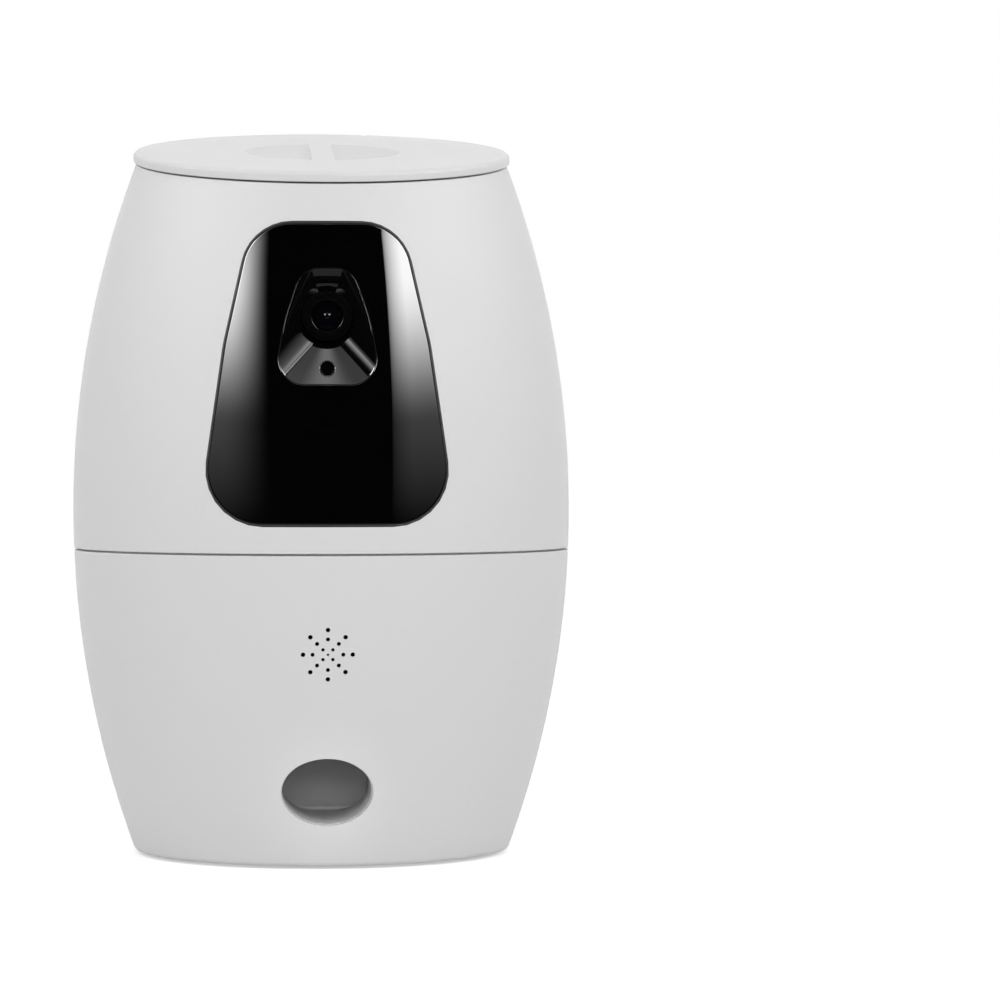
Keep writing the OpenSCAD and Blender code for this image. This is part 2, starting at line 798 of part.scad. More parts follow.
module ir_leds() color([0.12, 0.08, 0.14]) {
    for (x = [-led_x, 0, led_x], z = [led_board_z[0] + 6, led_board_z[1] - 6])
        translate([x, led_board_y - led_board_t, z]) {
            rotate([90, 0, 0]) cylinder(r = led_r + 0.5, h = 1);
            rotate([90, 0, 0]) cylinder(r = led_r, h = led_len - led_r);
            translate([0, -led_len + led_r, 0]) sphere(r = led_r);
        }
}

// ---- hopper and star wheel ----

module in_hopper(z = 0) {
    translate([0, hopper_y, z]) children();
}

module hopper() color(pale) {
    difference() {
        union() {
            lid_disc(-deck_drop, -deck_drop + flange_t, flange_r);
            lid_disc(-deck_drop - 11, -deck_drop, collar_r + collar_t);
            intersection() {
                in_hopper(floor_z) cylinder(r = hopper_r + hopper_wall, h = lid_z - floor_z);
                below_lid(-deck_drop);
            }
            in_hopper(plate_z + plate_t) at_angles([50, 130, 230, 310], hopper_r - 2)
                cylinder(r = 3.5, h = floor_z - plate_z - plate_t + 1);
            translate([0, drop_y, plate_z + plate_t])
                cylinder(r = drop_r + neck_wall, h = floor_z - plate_z - plate_t + 1);
        }
        lid_disc(-deck_drop - 11 + hopper_wall, lid_gap + 2, collar_r);
        intersection() {
            in_hopper(floor_top) cylinder(r = hopper_r, h = lid_z);
            below_lid(-deck_drop - 2);
        }
        translate([0, drop_y, plate_z]) cylinder(r = drop_r, h = 40);
        in_hopper(floor_z - 1) cylinder(r = wheel_shaft_r + bush_t + run_fit, h = 10);
        in_hopper(plate_z) at_angles([50, 130, 230, 310], hopper_r - 2)
            cylinder(r = screw_r + run_fit, h = plate_t + 8.5);
    }
}

module drop_cover() color(gear_white) {
    in_hopper(cover_z) difference() {
        intersection() {
            cylinder(r = hopper_r - 0.1, h = cover_t);
            linear_extrude(cover_t) polygon([[0, -4], [-far / 8, -far / 5], [far / 8, -far / 5]]);
        }
        translate([0, 0, -1]) cylinder(r = hub_r + 2, h = cover_t + 2);
    }
}

module treat_wheel() color([0.95, 0.95, 0.93]) {
    in_hopper(wheel_z) difference() {
        union() {
            cylinder(r = hub_r, h = wheel_h);
            for (i = [0:pockets - 1]) rotate([0, 0, (i + 0.5) * 360 / pockets - 90])
                intersection() {
                    translate([0, -vane_t / 2, 0]) cube([wheel_r, vane_t, wheel_h]);
                    cylinder(r = wheel_r - 0.1, h = wheel_h);
                }
        }
        translate([0, 0, -1]) cylinder(r = wheel_shaft_r, h = wheel_h + 2);
    }
}

module agitator() color([0.55, 0.57, 0.60]) {
    in_hopper() difference() {
        union() {
            translate([0, 0, wheel_z + wheel_h]) cylinder(r = 6, h = agitator_z + 6 - wheel_z - wheel_h);
            for (a = [0, 180]) rotate([0, 0, a]) {
                translate([0, 0, agitator_z + 2.5]) rotate([0, 90, 0]) cylinder(r = 2, h = 28);
                translate([28, 0, agitator_z + 2.5]) sphere(r = 2);
                translate([28, 0, agitator_z + 2.5]) cylinder(r = 2, h = 12);
                translate([28, 0, agitator_z + 14.5]) sphere(r = 2);
            }
        }
        translate([0, 0, wheel_z]) cylinder(r = wheel_shaft_r, h = wheel_h + 5);
    }
}

module wheel_shaft() color(steel) {
    in_hopper(plate_z - 0.5) cylinder(r = wheel_shaft_r, h = wheel_z + wheel_h + 4.5 - plate_z);
}

module wheel_bushings() color(brass) {
    for (z = [plate_z, floor_z]) in_hopper(z) difference() {
        union() {
            cylinder(r = wheel_shaft_r + bush_t, h = z == plate_z ? plate_t : hopper_wall);
            if (z == plate_z) cylinder(r = wheel_shaft_r + bush_t + 1.5, h = plate_t + 0.8);
        }
        translate([0, 0, -1]) cylinder(r = wheel_shaft_r + run_fit, h = 10);
        if (z == plate_z) translate([0, 0, -1]) difference() {
            cylinder(r = far / 8, h = 1 + plate_t);
            cylinder(r = wheel_shaft_r + bush_t, h = 1 + plate_t);
        }
    }
}

module wheel_gear() color(gear_white) {
    in_hopper(gear_z) gear(wheel_teeth, gear_t, wheel_shaft_r);
}

module idler_gear() color(gear_white) {
    in_hopper(gear_z) translate([idler_x, 0, 0])
        gear(idler_teeth, gear_t, idler_pin_r + run_fit, 180 / idler_teeth);
}

module idler_pin() color(steel) {
    in_hopper(plate_z) translate([idler_x, 0, 0]) {
        cylinder(r = idler_pin_r, h = gear_z + gear_t + 0.3 - plate_z);
        translate([0, 0, gear_z + gear_t + 0.3 - plate_z]) cylinder(r = idler_pin_r + 1.5, h = 1);
        translate([0, 0, plate_t]) cylinder(r = idler_pin_r + 2, h = gear_z - plate_z - plate_t - 0.3);
    }
}

module wheel_pinion() color(brass) {
    in_hopper() translate([pinion_x, 0, 0]) {
        translate([0, 0, gear_z]) linear_extrude(gear_t) polygon(gear_points(pinion_teeth, pinion_teeth));
        translate([0, 0, plate_z - 6]) cylinder(r = pinion_shaft_r, h = gear_z + gear_t + 6 - plate_z);
    }
}

// A gearmotor that stands on z = 0: its gearbox goes down h1, and its motor h2 below that
module gearbox(h) {
    difference() {
        translate([0, 0, -h]) cylinder(r = motor_d / 2, h = h);
        translate([0, 0, -7]) cylinder(r = pinion_shaft_r + run_fit, h = 8);
    }
}

module motor(h1, h2) {
    translate([0, 0, -h1 - h2]) cylinder(r = motor_d / 2 - 1, h = h2);
    translate([0, 0, -h1 - h2 - 2]) cylinder(r = 3, h = 3);
}

module wheel_gearbox() color(steel) {
    in_hopper(plate_z) translate([pinion_x, 0, 0]) gearbox(18);
}

module wheel_motor() color([0.52, 0.53, 0.55]) {
    in_hopper(plate_z) translate([pinion_x, 0, 0]) motor(18, 18);
}

module mechanism_frame() color(pale) {
    difference() {
        translate([0, 0, plate_z]) cylinder(r = boss_at + boss_r + 1.6, h = plate_t, $fn = 120);
        translate([0, drop_y, plate_z - 1]) cylinder(r = neck_r, h = 9);
        in_hopper(plate_z - 1) {
            cylinder(r = wheel_shaft_r + bush_t + run_fit, h = 9);
            translate([idler_x, 0, 0]) cylinder(r = idler_pin_r, h = 9);
            translate([pinion_x, 0, 0]) cylinder(r = pinion_shaft_r + 1, h = 9);
            at_angles([50, 130, 230, 310], hopper_r - 2) cylinder(r = screw_r + 0.2, h = 9);
        }
        at_angles(boss_angles, boss_at) translate([0, 0, plate_z - 1]) cylinder(r = screw_r + 0.2, h = 9);
        translate([cable_hole[0], cable_hole[1], plate_z - 1]) cylinder(r = 5, h = 9);
        for (y = [-6, 22]) translate([bracket_x + 6, y, plate_z - 1]) cylinder(r = screw_r + run_fit, h = 9);
    }
}

module frame_screws() color(steel) {
    in_hopper(plate_z - head_h) at_angles([50, 130, 230, 310], hopper_r - 2) screw(plate_t + 7);
    for (y = [-6, 22]) translate([bracket_x + 6, y, plate_z - bracket_t - head_h]) screw(bracket_t + plate_t);
}

// ---- thrower ----

module on_drum(angle, reach) {
    translate([0, drum_y + reach * cos(angle), drum_z + reach * sin(angle)]) children();
}

module drum_body() {
    difference() {
        union() {
            side_bar(-drum_half, drum_y, drum_z, drum_out_r, 2 * drum_half, $fn = 120);
            translate([0, drop_y, drum_z]) cylinder(r = neck_r + neck_wall, h = plate_z - drum_z);
            for (a = lug_angles) on_drum(a, lug_reach) side_bar(-drum_half, 0, 0, lug_r, 2 * drum_half);
            side_bar(-drum_half - 8.6, drum_y, drum_z, toss_shaft_r + 2.6, 9);
        }
        side_bar(-drum_w / 2, drum_y, drum_z, drum_r, drum_w, $fn = 120);
        translate([0, drop_y, drum_z]) cylinder(r = neck_r, h = far);
        outlet_bar(outlet_step, drum_y - 10, -70);
        side_bar(-far / 2, drum_y, drum_z, toss_shaft_r + 0.5, far);
        for (s = [-1, 1]) side_bar(s * (drum_half - 1) - 2, drum_y, drum_z, toss_shaft_r + bush_t + run_fit, 4);
        for (a = lug_angles) on_drum(a, lug_reach) side_bar(-far / 2, 0, 0, screw_r + run_fit, far);
    }
}

module half_space(side) {
    translate([side > 0 ? 0 : -far / 2, -far / 2, -far / 4]) cube([far / 2, far, far]);
}

module drum_left() color([0.72, 0.74, 0.77]) {
    intersection() {
        drum_body();
        half_space(-1);
    }
}

module drum_right() color([0.66, 0.69, 0.73]) {
    intersection() {
        drum_body();
        half_space(1);
    }
}

module drum_screws() color(steel) {
    for (a = lug_angles) on_drum(a, lug_reach)
        along_x(-drum_half - head_h, 0, 0) screw(2 * drum_half + (a == 90 || a == 300 ? 6 : -1));
}

module outlet_tunnel() color(white) {
    difference() {
        intersection() {
            outlet_bar(outlet_step - tunnel_wall, drum_y - 12, -90);
            barrel(wall + fit);
        }
        outlet_bar(outlet_step, 0, -95);
        side_bar(-far / 2, drum_y, drum_z, drum_out_r + fit, far, $fn = 120);
    }
}

module toss_arm() color([0.80, 0.81, 0.82]) {
    arm_w = drum_w - 2 * arm_gap;
    along_x(-arm_w / 2, drum_y, drum_z) rotate([0, 0, -90 - arm_lean]) difference() {
        union() {
            cylinder(r = toss_shaft_r + 3, h = arm_w);
            translate([0, -1.5, 0]) cube([arm_len, 3, arm_w]);
            translate([arm_len - 3, -1.5, 0]) cube([3, 4.5, arm_w]);
        }
        translate([0, 0, -1]) cylinder(r = toss_shaft_r, h = drum_w);
    }
}

module toss_shaft() color(steel) {
    side_bar(-drum_half - 11, drum_y, drum_z, toss_shaft_r, 2 * drum_half + 11 + arm_gear_t + 2);
    difference() {
        side_bar(-drum_half - 11, drum_y, drum_z, 8, 2);
        side_bar(-drum_half - 12, drum_y, drum_z, toss_shaft_r, 6);
    }
}

module toss_bushings() color(brass) {
    for (s = [-1, 1]) difference() {
        side_bar(s * (drum_half - 1) - 1, drum_y, drum_z, toss_shaft_r + bush_t, 2);
        side_bar(-far / 2, drum_y, drum_z, toss_shaft_r + run_fit, far);
    }
}

module arm_gear() color(gear_white) {
    along_x(arm_gear_x, drum_y, drum_z)
        gear(arm_teeth, arm_gear_t, toss_shaft_r, train_a + 180 / arm_teeth);
}

module toss_spring() color(steel) {
    r = toss_shaft_r + 3.2;
    difference() {
        side_bar(-drum_half - 8.2, drum_y, drum_z, r + 1.6, 7.4);
        side_bar(-drum_half - 9, drum_y, drum_z, r, 9);
    }
    translate([-drum_half - 2.4, drum_y + r + 0.1, drum_z]) cube([1.4, 1.4, 14]);
}

module winder_gear() color(gear_white) {
    difference() {
        union() {
            along_x(arm_gear_x, winder_y, winder_z)
                gear(sector_teeth, arm_gear_t, 1, 180 + train_a - 360 / sector_teeth, sector_cut);
            along_x(arm_gear_x + arm_gear_t - 0.5, winder_y, winder_z) cylinder(r = 9, h = 3);
            along_x(winder_x, winder_y, winder_z) gear(winder_teeth, winder_t, 1);
        }
        side_bar(0, winder_y, winder_z, winder_shaft_r + run_fit, far);
    }
}

module winder_shaft() color(steel) {
    side_bar(arm_gear_x - 0.3, winder_y, winder_z, winder_shaft_r, bracket_x + bracket_t - arm_gear_x + 0.3);
    side_bar(arm_gear_x - 1.1, winder_y, winder_z, winder_shaft_r + 1.2, 0.8);
}

module toss_pinion() color(brass) {
    along_x(winder_x, toss_motor_y, winder_z) {
        rotate([0, 0, 180 + 180 / pinion_teeth]) linear_extrude(winder_t)
            polygon(gear_points(pinion_teeth, pinion_teeth));
        translate([0, 0, -7.5]) cylinder(r = pinion_shaft_r, h = 7.5 + winder_t);
    }
}

module toss_gearbox() color(steel) {
    along_x(winder_x - 1.5, toss_motor_y, winder_z) gearbox(18);
}

module toss_motor() color([0.52, 0.53, 0.55]) {
    along_x(winder_x - 1.5, toss_motor_y, winder_z) motor(18, 17);
}

module gear_bracket() color([0.60, 0.62, 0.65]) {
    difference() {
        union() {
            along_x(bracket_x, 0, 0) linear_extrude(bracket_t) polygon([
                [drum_y - 6, plate_z], [drum_y - 6, drum_z], [8, 8], [22, 8],
                [toss_motor_y + 8, winder_z - 12], [toss_motor_y + 8, winder_z + 12], [30, plate_z]]);
            translate([bracket_x, drum_y - 6, plate_z - bracket_t]) cube([11, 42 - drum_front, bracket_t]);
            for (a = post_angles) on_drum(a, lug_reach)
                side_bar(drum_half, 0, 0, lug_r - 1, bracket_x - drum_half);
            for (s = [-1, 1])
                side_bar(winder_x - 1.5, toss_motor_y, winder_z + s * 8.4, 1.2, bracket_x - winder_x + 1.5);
        }
        side_bar(0, winder_y, winder_z, winder_shaft_r, far);
        for (a = post_angles) on_drum(a, lug_reach) side_bar(0, 0, 0, screw_r + run_fit, drum_half + 7);
        for (y = [-6, 22]) translate([bracket_x + 6, y, plate_z - 5]) cylinder(r = screw_r + 0.2, h = 9);
    }
}

// ---- speaker and electronics ----

module speaker_frame() color([0.25, 0.25, 0.27]) {
    difference() {
        union() {
            rear_bar(0, speaker_y, speaker_z, speaker_d / 2, 2);
            rear_bar(0, speaker_y + 2, speaker_z, speaker_d / 2 - 3, speaker_t - 2);
            rear_bar(0, speaker_y + speaker_t, speaker_z, magnet_r, magnet_t);
        }
        rear_bar(0, speaker_y - 1, speaker_z, speaker_d / 2 - 5, speaker_t - 1);
    }
}

module speaker_cone() color([0.09, 0.09, 0.10]) {
    translate([0, speaker_y + 0.4, speaker_z]) rotate([-90, 0, 0]) rotate_extrude() polygon([
        [0, speaker_t - 3.6], [4, speaker_t - 3.6], [speaker_d / 2 - 5.1, 1.5], [speaker_d / 2 - 5.1, 2.3],
        [4.5, speaker_t - 2.8], [0, speaker_t - 2.8]]);
}

module main_board() color(board_green) {
    difference() {
        translate([-board_x, board_y, board_low]) cube([2 * board_x, board_t, board_high - board_low]);
        for (x = [-board_screw_x, board_screw_x], z = board_screw_zs)
            rear_bar(x, board_y - 1, z, 1.4, 5);
    }
}

module board_chips() color(dark) {
    chips = [[-12, 78, 14, 14, 1.4], [8, 80, 9, 9, 1.2], [20, 76, 6, 12, 1.6], [-22, 60, 8, 8, 1.2]];
    for (c = chips)
        translate([c[0] - c[2] / 2, board_y - c[4], c[1] - c[3] / 2]) cube([c[2], c[4], c[3]]);
}

module board_screws() color(steel) {
    for (x = [-board_screw_x, board_screw_x], z = board_screw_zs) {
        forward_bar(x, board_y, z, 2.4, 1.4);
        rear_bar(x, board_y - 0.7, z, 1.2, 7);
    }
}

module dc_jack() color(dark) {
    front = board_y + board_t;
    nose = side_x(jack_z) - 0.6;
    difference() {
        union() {
            translate([-jack_w / 2, front, jack_z - jack_w / 2])
                cube([jack_w, side_x(jack_z - 5, wall) - 1.4 - front, jack_w]);
            rear_bar(0, front, jack_z, jack_nose_r, nose - front);
        }
        rear_bar(0, nose - 10, jack_z, jack_plug_r, 20);
    }
    rear_bar(0, nose - 10.5, jack_z, jack_pin_r, 9);
}

module reset_switch() color([0.3, 0.3, 0.32]) {
    translate([-switch_w / 2, board_y + board_t, reset_z - switch_w / 2])
        cube([switch_w, switch_t, switch_w]);
}

module reset_button() color(pale) {
    start = board_y + board_t + switch_t + reset_travel + 0.3;
    rear_bar(0, start, reset_z, reset_r, side_x(reset_z) - 0.5 - start);
    rear_bar(0, side_x(reset_z, wall) - 2.5, reset_z, reset_collar_r, 1.5);
}

// ---- cable from the camera to the circuit board ----

cable_route = [
    [3, camera_board_y + 3.2, lens_z - 9], [11, camera_board_y + 4.5, lens_z - 17],
    [28, camera_board_y + 7, lens_z - 26], [42, -38, lens_z - 35], [53, -22, lens_z - 42],
    [59, -3, lens_z - 48], [59, 16, lens_z - 54], [53, 33, lens_z - 60], [45, 46, lens_z - 67],
    [40, 50, plate_z], [37, 52.5, plate_z - 7], [30, board_y - 2.5, plate_z - 13],
    [20, board_y - 1.6, plate_z - 17]];
function spline(p, t) = let (t2 = t * t, t3 = t2 * t) 0.5 * (2 * p[1] + (p[2] - p[0]) * t
    + (2 * p[0] - 5 * p[1] + 4 * p[2] - p[3]) * t2 + (3 * p[1] - p[0] - 3 * p[2] + p[3]) * t3);
function smooth(route, steps) = let (n = len(route)) concat(
    [for (i = [0:n - 2], j = [0:steps - 1])
        spline([route[max(i - 1, 0)], route[i], route[i + 1], route[min(i + 2, n - 1)]], j / steps)],
    [route[n - 1]]);
function unit(v) = v / norm(v);

module tube(path, r, sides = 8) {
    n = len(path);
    rings = [for (i = [0:n - 1])
        let (t = unit(path[min(i + 1, n - 1)] - path[max(i - 1, 0)]))
        let (u = unit(cross(t, [0, 0, 1])), v = cross(t, u))
        for (k = [0:sides - 1]) let (a = k * 360 / sides) path[i] + r * (u * cos(a) + v * sin(a))];
    sides_faces = [for (i = [0:n - 2], k = [0:sides - 1]) let (a = i * sides + k)
        let (b = i * sides + (k + 1) % sides) each [[a, b, b + sides], [a, b + sides, a + sides]]];
    ends = [[for (k = [sides - 1:-1:0]) k], [for (k = [0:sides - 1]) (n - 1) * sides + k]];
    polyhedron(rings, concat(sides_faces, ends), convexity = 6);
}

module camera_cable() color(dark) {
    tube(smooth(cable_route, 3), cable_r);
}

upper_shell();
lower_shell();
base_plate();
rubber_feet();
base_screws();
shell_screws();
lid();
lid_plug();
lid_gasket();
front_window();
window_trim();
lens_hood();
lens_barrel();
lens_glass();
lens_retainer();
camera_board();
image_sensor();
camera_screws();
microphone();
ir_led_board();
ir_leds();
hopper();
drop_cover();
treat_wheel();
agitator();
wheel_shaft();
wheel_bushings();
wheel_gear();
idler_gear();
idler_pin();
wheel_pinion();
wheel_gearbox();
wheel_motor();
mechanism_frame();
frame_screws();
outlet_tunnel();
drum_left();
drum_right();
drum_screws();
toss_arm();
toss_shaft();
toss_bushings();
arm_gear();
toss_spring();
winder_gear();
winder_shaft();
toss_pinion();
toss_gearbox();
toss_motor();
gear_bracket();
speaker_frame();
speaker_cone();
main_board();
board_chips();
board_screws();
dc_jack();
reset_button();
reset_switch();
camera_cable();
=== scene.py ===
# %% [markdown]
# # A treat tossing pet camera, dressed for a studio picture
#
# The frame is the engineering model: every solid, in metres, on the body it
# moves with. This lesson dresses that frame. It keeps the solids whose shape is
# already right and gives them finishes, and it builds finer pieces for the parts
# that the eye goes to: the glossy front, its trim line and the funnel round the
# lens. The front of the object looks along -Y and it stands on z = 0.

# %% Load the frame
import bisect
import json
import math

import bmesh
import bpy
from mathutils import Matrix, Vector


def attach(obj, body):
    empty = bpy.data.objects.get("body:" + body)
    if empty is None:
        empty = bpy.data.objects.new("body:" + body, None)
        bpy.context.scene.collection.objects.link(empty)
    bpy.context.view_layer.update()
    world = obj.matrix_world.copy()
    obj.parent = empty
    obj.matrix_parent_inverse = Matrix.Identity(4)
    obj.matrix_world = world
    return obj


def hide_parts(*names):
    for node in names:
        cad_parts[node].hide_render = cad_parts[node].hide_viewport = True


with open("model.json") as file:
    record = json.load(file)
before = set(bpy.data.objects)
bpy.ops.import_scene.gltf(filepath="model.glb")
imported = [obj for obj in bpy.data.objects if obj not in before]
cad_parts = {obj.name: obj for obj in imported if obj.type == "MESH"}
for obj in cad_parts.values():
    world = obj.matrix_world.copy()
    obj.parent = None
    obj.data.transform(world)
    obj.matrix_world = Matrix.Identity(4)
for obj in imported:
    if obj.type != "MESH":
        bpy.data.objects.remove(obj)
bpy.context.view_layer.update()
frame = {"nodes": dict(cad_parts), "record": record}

nodes = frame["nodes"]
MM = 0.001

# %% [markdown]
# ## The camera
#
# The picture was taken from 1.4 m with a long lens, a little left of straight
# on, and the object stands left of the middle of the frame. A shifted lens could
# do that, but turning the camera keeps the other views true, so the camera is
# turned right until the axis of the object falls where it should.

# %% Camera
PICTURE_PX = 1000
SENSOR_MM = 36
DISTANCE = 1.4
VIEW_TURN = math.radians(-1.4)
EYE_HEIGHT = 0.14
SCALE_PX = 1 / 0.000334
AXIS_LEFT_PX = 178.3
HORIZON_UP_PX = 69

focal_px = DISTANCE * SCALE_PX
camera_data = bpy.data.cameras.new("camera")
camera_data.sensor_width = SENSOR_MM
camera_data.lens = focal_px / PICTURE_PX * SENSOR_MM
camera = bpy.data.objects.new("camera", camera_data)
camera.location = (DISTANCE * math.sin(VIEW_TURN), -DISTANCE * math.cos(VIEW_TURN), EYE_HEIGHT)
camera.rotation_euler = (
    math.pi / 2 - math.atan(HORIZON_UP_PX / focal_px),
    0,
    VIEW_TURN - math.atan(AXIS_LEFT_PX / focal_px),
)
bpy.context.scene.collection.objects.link(camera)
bpy.context.scene.camera = camera
print("lens:", round(camera_data.lens, 1), "mm")

# %% [markdown]
# ## Shared effects
#
# Moulded plastic, rubber and metal all show the same few things in different
# amounts: a fine grain from the mould, soft clouds where the surface is a touch
# duller, brushed lines, and lighter edges where hands and tools have rubbed.
# Each effect could be rebuilt in every material, but a shader node group is made
# once and placed in each material with its own numbers.

# %% Helper that starts a node group


def new_group(name, inputs, outputs):
    """An empty shader node group with named sockets, and its two end nodes."""
    group = bpy.data.node_groups.new(name, "ShaderNodeTree")
    for label, value in inputs:
        socket = group.interface.new_socket(name=label, in_out="INPUT", socket_type="NodeSocketFloat")
        socket.default_value = value
    for label in outputs:
        group.interface.new_socket(name=label, in_out="OUTPUT", socket_type="NodeSocketFloat")
    start = group.nodes.new("NodeGroupInput")
    end = group.nodes.new("NodeGroupOutput")
    return group, start, end


def add_math(tree, operation, a, b=None, c=None):
    """A Math node. Each of a, b and c is a number or the socket that feeds it."""
    node = tree.nodes.new("ShaderNodeMath")
    node.operation = operation
    for socket, value in zip(node.inputs, (a, b, c)):
        if value is None:
            continue
        if isinstance(value, (int, float)):
            socket.default_value = value
        else:
            tree.links.new(value, socket)
    return node.outputs[0]


def add_noise(tree, coords, scale, detail, rough=0.5):
    """A Noise texture on given coordinates; scale is a number or a socket."""
    node = tree.nodes.new("ShaderNodeTexNoise")
    node.inputs["Detail"].default_value = detail
    node.inputs["Roughness"].default_value = rough
    tree.links.new(coords, node.inputs["Vector"])
    if isinstance(scale, (int, float)):
        node.inputs["Scale"].default_value = scale
    else:
        tree.links.new(scale, node.inputs["Scale"])
    return node.outputs["Fac"]


def add_ramp(tree, value, start, stop, to_start=0.0, to_stop=1.0, kind="SMOOTHSTEP"):
    """A Map Range node that leads from one value to another."""
    node = tree.nodes.new("ShaderNodeMapRange")
    node.interpolation_type = kind
    node.inputs["From Min"].default_value = start
    node.inputs["From Max"].default_value = stop
    node.inputs["To Min"].default_value = to_start
    node.inputs["To Max"].default_value = to_stop
    tree.links.new(value, node.inputs["Value"])
    return node.outputs[0]


print("helpers ready")

# %% Mould grain
grain, start, end = new_group("mould grain", [("Scale", 2500.0)], ["Height", "Clouds"])
coords = grain.nodes.new("ShaderNodeTexCoord").outputs["Object"]
fine = add_noise(grain, coords, start.outputs["Scale"], 3.0, 0.6)
broad = add_noise(grain, coords, 34.0, 4.0)
grain.links.new(fine, end.inputs["Height"])
grain.links.new(broad, end.inputs["Clouds"])
print("group:", grain.name)

# %% Brushed lines
brushed, start, end = new_group(
    "brushed lines", [("Along X", 60.0), ("Across", 4200.0)], ["Height", "Streaks"]
)
coords = brushed.nodes.new("ShaderNodeTexCoord").outputs["Object"]
split = brushed.nodes.new("ShaderNodeSeparateXYZ")
brushed.links.new(coords, split.inputs[0])
join = brushed.nodes.new("ShaderNodeCombineXYZ")
for axis, socket in (("X", "Along X"), ("Y", "Across"), ("Z", "Across")):
    brushed.links.new(
        add_math(brushed, "MULTIPLY", split.outputs[axis], start.outputs[socket]), join.inputs[axis]
    )
lines = add_noise(brushed, join.outputs[0], 1.0, 2.0)
brushed.links.new(lines, end.inputs["Height"])
brushed.links.new(add_math(brushed, "SUBTRACT", lines, 0.5), end.inputs["Streaks"])
print("group:", brushed.name)

# %% Rubbed edges
EDGE_FROM, EDGE_TO = 0.52, 0.62
edges, start, end = new_group("rubbed edges", [("Amount", 0.3)], ["Mask"])
pointiness = edges.nodes.new("ShaderNodeNewGeometry").outputs["Pointiness"]
coords = edges.nodes.new("ShaderNodeTexCoord").outputs["Object"]
patchy = add_noise(edges, coords, 180.0, 3.0)
sharp = add_ramp(edges, pointiness, EDGE_FROM, EDGE_TO, kind="LINEAR")
rubbed = add_math(edges, "MULTIPLY", sharp, patchy)
edges.links.new(add_math(edges, "MULTIPLY", rubbed, start.outputs["Amount"]), end.inputs["Mask"])
print("group:", edges.name)

# %% Fingerprints and dust
PRINTS_FROM, PRINTS_TO = 0.5, 0.75
SPECKS_FROM, SPECKS_TO = 0.74, 0.8
smudges, start, end = new_group("smudges", [("Amount", 0.1), ("Scale", 60.0)], ["Dulling", "Dust"])
coords = smudges.nodes.new("ShaderNodeTexCoord").outputs["Object"]
large = add_noise(smudges, coords, start.outputs["Scale"], 5.0, 0.62)
specks = add_noise(smudges, coords, 3800.0, 1.0)
prints = add_ramp(smudges, large, PRINTS_FROM, PRINTS_TO, kind="LINEAR")
speck_mask = add_ramp(smudges, specks, SPECKS_FROM, SPECKS_TO, kind="LINEAR")
for mask, label in ((prints, "Dulling"), (speck_mask, "Dust")):
    smudges.links.new(add_math(smudges, "MULTIPLY", mask, start.outputs["Amount"]), end.inputs[label])
print("group:", smudges.name)

# %% [markdown]
# ## One recipe for all finishes
#
# Every finish of this object is a Principled shader fed by the groups above. The
# grain drives a Bump node, the clouds shift the colour a little, the smudges
# dull the gloss, specks of dust show on black and the rubbed edges lighten it.
# Numbers that are the same all over a surface sit on the shader's own sockets.

# %% Finish helper
DUST_COLOUR = (0.6, 0.6, 0.6, 1.0)
LINE_SHADE, RUBBED_SHADE = 0.8, 1.6


def place_group(tree, group, **values):
    """A node group placed in a material with its own input values."""
    node = tree.nodes.new("ShaderNodeGroup")
    node.node_tree = group
    for label, value in values.items():
        node.inputs[label.replace("_", " ")].default_value = value
    return node


def add_mix(tree, factor, a, b):
    """A colour mix; the factor is a socket, a and b are colours or sockets."""
    node = tree.nodes.new("ShaderNodeMix")
    node.data_type = "RGBA"
    tree.links.new(factor, node.inputs["Factor"])
    for socket, value in ((node.inputs[6], a), (node.inputs[7], b)):
        if isinstance(value, tuple):
            socket.default_value = value
        else:
            tree.links.new(value, socket)
    return node.outputs[2]


def shade(colour, factor):
    """The colour made lighter or darker, as four numbers."""
    return tuple(min(1.0, c * factor) for c in colour[:3]) + (1.0,)


def finish(
    name, colour, rough, grain_scale=2500.0, grain_depth=0.00002, cloud=0.03, dull=0.08, wear=0.0,
    metal=0.0, lined=False, specular=0.5, dust=0.0,
):
    """A procedural finish: grain, clouds, smudges and rubbed edges on one shader."""
    material = bpy.data.materials.new(name)
    material.use_nodes = True
    tree = material.node_tree
    shader = tree.nodes["Principled BSDF"]
    grained = place_group(tree, grain, Scale=grain_scale)
    smudged = place_group(tree, smudges, Amount=1.0)
    base = add_mix(tree, grained.outputs["Clouds"], shade(colour, 1 - cloud), shade(colour, 1 + cloud))
    height = grained.outputs["Height"]
    if lined:
        streaks = place_group(tree, brushed)
        base = add_mix(tree, streaks.outputs["Height"], shade(colour, LINE_SHADE), base)
        height = streaks.outputs["Height"]
    if wear:
        rubbed = place_group(tree, edges, Amount=wear)
        base = add_mix(tree, rubbed.outputs["Mask"], base, shade(colour, RUBBED_SHADE))
    if dust:
        specks = add_math(tree, "MULTIPLY", smudged.outputs["Dust"], dust)
        base = add_mix(tree, specks, base, DUST_COLOUR)
    tree.links.new(base, shader.inputs["Base Color"])
    roughness = add_math(tree, "MULTIPLY_ADD", smudged.outputs["Dulling"], dull, rough)
    tree.links.new(roughness, shader.inputs["Roughness"])
    bump = tree.nodes.new("ShaderNodeBump")
    bump.inputs["Distance"].default_value = grain_depth
    tree.links.new(height, bump.inputs["Height"])
    tree.links.new(bump.outputs["Normal"], shader.inputs["Normal"])
    shader.inputs["Metallic"].default_value = metal
    shader.inputs["Specular IOR Level"].default_value = specular
    return material


print("recipe ready")

# %% [markdown]
# ## The outer plastics
#
# The two shells and the lid are white plastic with a very fine matt mould
# texture, so light falls off them softly with no hard reflections. The window
# and the hood behind it are black polished plastic: almost no colour of their
# own, a mirror surface, and a few specks of dust that only show against black.

